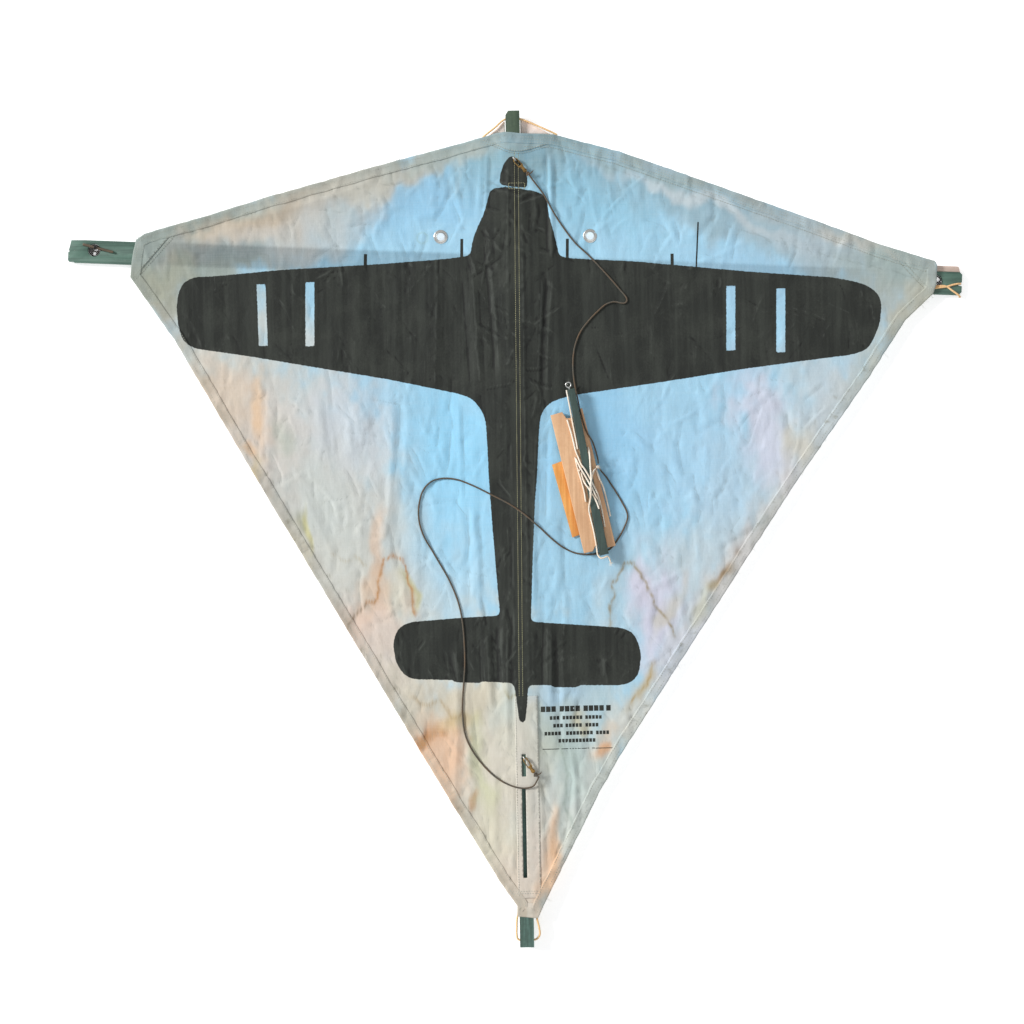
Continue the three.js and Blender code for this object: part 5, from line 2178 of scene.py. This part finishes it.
# ---------------------------------------------------------------------- the hardware
@dataclass
class Hardware:
    """Eyelets, screw eyes, snap hooks, their knots and the pivot.

    Attributes:
        flange: the eyelet's outer radius.
        bore: the eyelet's inner radius.
        face: the height of the cloth's face at the eyelets.
        ring: the height of the screw eyes' rings.
    """

    form: SailForm
    flange: float = 12.6
    bore: float = 6.8
    face: float = 15.3
    ring: float = 29.6
    eyes: tuple = (("head", (2, 664), -47.5), ("tail", (1, -412), -57))

    def build_grommet(self, side: str, looks: Looks) -> list[Piece]:
        """Makes one eyelet and the washer behind it.

        Args:
            side: left or right.
            looks: the materials.

        Returns:
            The two pieces.
        """
        at = GROMMETS[side]
        rim, bore = self.flange, self.bore
        around = [self.form.at(at[0] + rim * math.cos(a), at[1] + rim * math.sin(a))
                  for a in np.linspace(0, 6.28, 24)]
        top = max(self.face, float(np.mean(around)) + 0.3)
        low = self.face - 2.7
        eyelet = turned("eyelet_" + side, [
            (bore, low), (bore + 0.7, low), (bore + 0.9, top - 0.4), (rim - 0.6, top - 0.3),
            (rim, top + 0.05), (rim - 0.3, top + 0.55), (rim - 1.4, top + 0.85),
            (rim - 2.6, top + 0.7), (bore + 2.2, top + 0.75), (bore + 1.3, top + 1.3),
            (bore + 0.5, top + 1.35), (bore, top + 0.8)], at, 56)
        washer = turned("eyelet_washer_" + side, [
            (bore + 1.2, low), (rim - 1.0, low), (rim - 0.6, low + 0.3),
            (rim - 0.6, self.face - 1.8), (bore + 1.2, self.face - 1.6)], at, 48)
        return [looks.finish(piece, "bright", "plated_steel", "root", node + side)
                for piece, node in ((eyelet, "grommet_"), (washer, "grommet_washer_"))]

    def build_screw_eye(self, end: str, at: Point, turn: float, looks: Looks
                        ) -> Piece:
        """Makes a screw eye: a wire ring over a threaded shank.

        Args:
            end: head or tail.
            at: where it stands.
            turn: how its ring is turned.
            looks: the materials.

        Returns:
            The screw eye.
        """
        bpy.ops.mesh.primitive_torus_add(
            major_segments=44, minor_segments=14, major_radius=4.2 * MM,
            minor_radius=1.1 * MM, location=(at[0] * MM, at[1] * MM, self.ring * MM),
            rotation=(math.pi / 2, 0, math.radians(turn)))
        ring = bake_place(bpy.context.object, "screw_eye_ring_" + end)
        steps = [(0.05, 25.7), (1.25, 25.7), (1.5, 24.9), (1.25, 24.2), (1.15, 23.2)]
        height = 23.2
        while height > 15.2:
            steps += [(1.2, height - 0.4), (0.95, height - 0.75), (1.2, height - 1.05)]
            height -= 1.1
        steps += [(0.6, 14.9), (0.05, 14.4)]
        shank = turned("screw_eye_shank_" + end, steps, at, 24)
        made = joined("screw_eye_" + end + "_wire", [ring, shank])
        smooth_sides(made, 60)
        return looks.finish(made, "steel", "plated_steel", "root", "screw_eye_" + end)

    def build_knot(self, end: str, at: Point, turn: float, looks: Looks) -> Piece:
        """Makes the knot that holds the bridle to its snap hook.

        Args:
            end: head or tail.
            at: where the screw eye stands.
            turn: how the snap hook is turned.
            looks: the materials.

        Returns:
            The knot with its loose end.
        """
        a = math.radians(turn)
        reach = 35.8
        x, y, z = at[0] + reach * math.cos(a), at[1] + reach * math.sin(a), 27.6
        knot = rope("knot", knot_path((x, y, z), 3.3, turn), 2.5)
        back = [(x - 6.6 * math.cos(a), y - 6.6 * math.sin(a), z + 0.4),
                (x - 3 * math.cos(a), y - 3 * math.sin(a), z + 0.6), (x, y, z)]
        loop = rope("loop", smooth_path(back, 0.6), 2.4)
        side = (-math.sin(a), math.cos(a))
        loose = [(x, y, z), (x + 2.4 * math.cos(a) + 4 * side[0],
                             y + 2.4 * math.sin(a) + 4 * side[1], z + 0.8),
                 (x + 2.4 * math.cos(a) + 9.5 * side[0],
                  y + 2.4 * math.sin(a) + 9.5 * side[1], z + 0.9)]
        tail = rope("tail", smooth_path(loose, 0.6), 2.2)
        frays = frayed("frays", loose[-1], turn + 92, 7, 4.0, 12 if end == "head" else 13,
                       24, 0.2)
        made = joined("bridle_tie_" + end, [knot, loop, tail, frays])
        return looks.finish(made, "bridle", "bridle_cord", "root", "bridle_knot_" + end)

    def build_sleeve(self, end: str, at: Point, turn: float, looks: Looks
                     ) -> Piece:
        """Makes the spring sleeve over a snap hook's neck.

        Args:
            end: head or tail.
            at: where the screw eye stands.
            turn: how the snap hook is turned.
            looks: the materials.

        Returns:
            The sleeve.
        """
        bpy.ops.object.select_all(action="DESELECT")
        a, reach = math.radians(turn), 22.4
        bpy.ops.mesh.primitive_cube_add(
            size=1, location=((at[0] + reach * math.cos(a)) * MM,
                              (at[1] + reach * math.sin(a)) * MM, 30.2 * MM),
            rotation=(0, math.radians(3.5), a))
        sleeve = bpy.context.object
        sleeve.scale = (13.5 * MM, 5.6 * MM, 1.5 * MM)
        bake_place(sleeve, "snap_sleeve_" + end)
        bpy.ops.object.mode_set(mode="EDIT")
        bpy.ops.mesh.select_all(action="DESELECT")
        edit = bmesh.from_edit_mesh(sleeve.data)
        for face in edit.faces:
            face.select_set(face.normal.z > 0.8)
        bmesh.update_edit_mesh(sleeve.data)
        bpy.ops.mesh.inset(thickness=1.1 * MM)
        bpy.ops.transform.translate(value=(0, 0, 0.45 * MM))
        bpy.ops.object.mode_set(mode="OBJECT")
        apply_modifier(sleeve, "BEVEL", width=0.35 * MM, segments=3, limit_method="ANGLE")
        smooth_sides(sleeve)
        return looks.finish(sleeve, "brass", "brass", "root")

    def build(self, looks: Looks) -> list[Piece]:
        """Builds and dresses all the hardware. Returns its pieces."""
        made = self.build_grommet("left", looks) + self.build_grommet("right", looks)
        for end, at, turn in self.eyes:
            made.append(self.build_screw_eye(end, at, turn, looks))
            made.append(self.build_knot(end, at, turn, looks))
            made.append(self.build_sleeve(end, at, turn, looks))
            for node, body, bevel in ((f"snap_hook_{end}", "root", 0.35),
                                      (f"snap_gate_{end}", f"gate_{end}", 0.3)):
                piece = eased_copy(node, node + "_cast", bevel, 3)
                made.append(looks.finish(piece, "brass", "brass", body))
        for node in ("pivot_bolt", "pivot_nut", "pivot_washer"):
            piece = eased_copy(node, node + "_turned", 0.3)
            made.append(looks.finish(piece, "steel", "plated_steel", "root"))
        return made


# ------------------------------------------------------------------------ the sticks
@dataclass
class Sticks:
    """The longeron, the cross spar with its splint, and the toggle at its left end.

    Attributes:
        ease: how far the sticks' long edges are eased.
    """

    ease: float = 0.9

    def build(self, looks: Looks) -> list[Piece]:
        """Builds and dresses the sticks. Returns them."""
        made = []
        for node, look, slot, body, ease in (
                ("longeron", "head_paint", "painted_wood", "root", self.ease),
                ("cross_spar", "spar_paint", "painted_wood", "spar", self.ease),
                ("tip_splint", "bare", "bare_wood", "spar", 0.7),
                ("toggle_peg", "peg", "peg_wood", "toggle", 0.5)):
            piece = eased_copy(node, node + "_stick", ease)
            made.append(looks.finish(piece, look, slot, body))
        made.append(self.build_lashing(looks))
        # Each spar hole gets a dark cord mat: painted shade inside the hole.
        for side, at in HOLE_MIDDLES.items():
            made.append(self.build_hole_shade_coil(side, at, looks))
        made += self.build_linings(looks)
        return made

    @staticmethod
    def build_hole_shade_coil(side: str, at: Point, looks: Looks) -> Piece:
        """Makes a dark cord mat low in a spar hole: painted shade over the white floor.

        Args:
            side: left or right.
            at: the hole's middle.
            looks: the materials.

        Returns:
            The coil, open for the toggle's cord and at one gap: a painted glint of white floor.
        """
        turns = []
        for radius, spans in HOLE_SHADE_TURNS:
            for start, end in spans:
                a = np.radians(np.arange(start, end + 1, 6))
                path = np.column_stack([at[0] + radius * np.cos(a),
                                        at[1] + radius * np.sin(a), np.full(len(a), 2.0)])
                turns.append(rope("turn", evenly(path, 0.9), 2.5))
        coil = joined("hole_shade_coil_" + side, turns)
        return looks.finish(coil, "lashing", "guy_cord", "spar")

    @staticmethod
    def build_lashing(looks: Looks) -> Piece:
        """Makes the turns of cord that hold the toggle. Returns them."""
        x, y, z, yaw = -755.5, 520.7, 12.1, math.radians(-15.5)
        t = np.linspace(0, 2 * np.pi * 3.2, 110)
        radius = 2.3 + 0.9
        along = (t / t[-1] - 0.5) * 4.4
        across = radius * np.cos(t)
        path = np.column_stack([x + along * math.cos(yaw) - across * math.sin(yaw),
                                y + along * math.sin(yaw) + across * math.cos(yaw),
                                z + radius * np.sin(t)])
        turns = rope("turns", evenly([tuple(p) for p in path], 0.5), 1.8)
        drop = smooth_path([(x, y, z - 3.0), (x + 0.1, y, 7.5), (x, y, 1.6)], 0.6)
        tail = rope("drop", drop, 2.0)
        knot = rope("top", knot_path((x - 0.5, y + 0.4, z + 3.4), 1.5, 30, 0.35), 1.4)
        made = joined("toggle_lashing", [turns, tail, knot])
        return looks.finish(made, "lashing", "guy_cord", "toggle", "toggle_line")

    @staticmethod
    def build_linings(looks: Looks) -> list[Piece]:
        """Makes the pale lining seen behind the guy line at the nose. Returns it."""
        made = []
        for side, corners in (("left", [(-45, 709), (-14, 714.5), (-14, 736)]),
                              ("right", [(14, 712), (68, 710.5), (14, 739)])):
            loop = evenly([*corners, corners[0]], 3.0)[:-1]
            gx, gy = (g.ravel() for g in np.meshgrid(
                np.arange(loop[:, 0].min(), loop[:, 0].max(), 3.2),
                np.arange(loop[:, 1].min(), loop[:, 1].max(), 3.2)))
            inside = line_distance(gx, gy, corners, True) < -1.2
            points = [Vector(p) for p in np.vstack([loop, np.column_stack([gx, gy])[inside]])]
            rim = [(k, (k + 1) % len(loop)) for k in range(len(loop))]
            flat = delaunay_2d_cdt(points, rim, [], 1, 1e-4)
            xy = np.array([tuple(p) for p in flat[0]])
            z = 12.7 + 0.35 * value_noise(xy[:, 0], xy[:, 1], (9, 9), 171, 2)
            piece = mesh_object("nose_lining_cloth_" + side, np.column_stack([xy, z]), flat[2])
            apply_modifier(piece, "SOLIDIFY", thickness=0.0006, offset=-1)
            node = "nose_lining_" + side
            made.append(looks.finish(piece, "lining", "lining_cotton", "root", node))
        return made


# ---------------------------------------------------------------- the control bundle
@dataclass
class ControlBundle:
    """The winder board with the control bar, its eye, and the loose batten under it.

    Attributes:
        place: where the bundle lies.
        bar_head: the middle of the bar's head end, in the bundle's frame.
        bar_middle: the height of the bar's middle there.
    """

    place: BundlePlace
    bar_head: Point = (14.4, 164.6)
    bar_middle: float = 11.45

    def build_eye(self, looks: Looks) -> Piece:
        """Makes the wire eye at the bar's head. Returns it."""
        matrix = self.place.matrix()
        x, y = self.bar_head
        bpy.ops.mesh.primitive_torus_add(major_segments=44, minor_segments=14,
                                         major_radius=4.6 * MM, minor_radius=1.2 * MM)
        ring = bpy.context.object
        ring.matrix_world = self.seat(matrix, (x, y + 8.4, self.bar_middle))
        bake_place(ring, "eye_ring")
        bpy.ops.mesh.primitive_cylinder_add(vertices=24, radius=1.3 * MM, depth=16 * MM)
        shank = bpy.context.object
        turn = Matrix.Rotation(math.pi / 2, 4, "X")
        shank.matrix_world = self.seat(matrix, (x, y - 3.8, self.bar_middle)) @ turn
        bake_place(shank, "eye_shank")
        made = joined("bar_eye_wire", [ring, shank])
        smooth_sides(made, 50)
        return looks.finish(made, "bright", "plated_steel", "bundle", "bar_eye")

    @staticmethod
    def seat(matrix: Matrix, at: tuple) -> Matrix:
        """The bundle's frame moved to a point in it, in metres."""
        made = matrix.to_3x3().to_4x4()
        made.translation = (matrix @ Vector(at)) * MM
        return made

    def build_ties(self, looks: Looks) -> list[Piece]:
        """Makes the knots, a dark knot beside the bar and the frayed end. Returns them."""
        board = rope("board_knot", knot_path(self.place.points([(31.6, 17.4, 10.2)])[0], 2.7,
                                             20, 0.4), 2.3)
        tuft = frayed("board_tuft", self.place.points([(33, 16, 9.5)])[0], -30, 9, 5.0, 21,
                      50, 0.22)
        made = [looks.finish(joined("board_tie", [board, tuft]), "line", "control_cord",
                             "bundle", "bridle_knot_board")]
        specs = (("bar_lashing", (1.8, 19.3, 12.5), 2.6, 3.2, "lashing"),
                 ("bar_tie", (-1.2, 19.3, 9.3), 2.0, 2.2, "line"))
        for name, at, size, thick, look in specs:
            place = self.place.points([at])[0]
            knot = rope(name + "_knot", knot_path(place, size, 40, 0.4), thick)
            ends = frayed(name + "_ends", place, 200, 8, 5.5, len(name), 60, 0.2)
            piece = joined(name, [knot, ends])
            made.append(looks.finish(piece, look, "control_cord", "bundle"))
        end = self.place.points([(10.5, -142, 12)])[0]
        string = rope("string", smooth_path([end, (end[0] + 3, end[1] - 5, end[2] - 1.5),
                                             (end[0] + 5, end[1] - 11, end[2] - 4)], 0.7), 2.6)
        frays = frayed("string_frays", (end[0] + 5, end[1] - 11, end[2] - 4), -70, 14, 8.0, 5,
                       30, 0.24)
        piece = joined("string_end", [string, frays])
        return [*made, looks.finish(piece, "line", "control_cord", "bundle")]

    def build(self, looks: Looks) -> list[Piece]:
        """Builds and dresses the bundle. Returns its pieces."""
        made = [self.build_eye(looks), *self.build_ties(looks)]
        for node, name, look, slot, body, ease in (
                ("winder_board", "winder_board_wood", "board", "board_wood", "bundle", 0.8),
                ("control_bar", "control_bar_wood", "bar_paint", "painted_wood", "bundle", 1.6),
                ("batten", "batten_strip", "batten", "batten_wood", "root", 0.5)):
            piece = eased_copy(node, name, ease, 3)
            made.append(looks.finish(piece, look, slot, body))
        return made


# ------------------------------------------------------------------------- the kite
def main() -> None:
    """Builds the whole kite and reports each piece."""
    logging.basicConfig(level=logging.INFO, format="%(name)s %(message)s")
    Studio().build()
    form, place, looks = SailForm(), BundlePlace(), Looks()
    cords = Cords(form, place)
    made = cords.build_bridle(looks) + cords.build_lines(looks) + cords.build_guys(looks)
    made += Sail(form, DyeAndShading(form)).build(looks)
    made += Hardware(form).build(looks)
    made += Sticks().build(looks)
    made += ControlBundle(place).build(looks)
    for piece in made:
        LOG.info("%s: %d faces", piece.name, len(piece.data.polygons))
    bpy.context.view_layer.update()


if __name__ == "__main__":
    main()
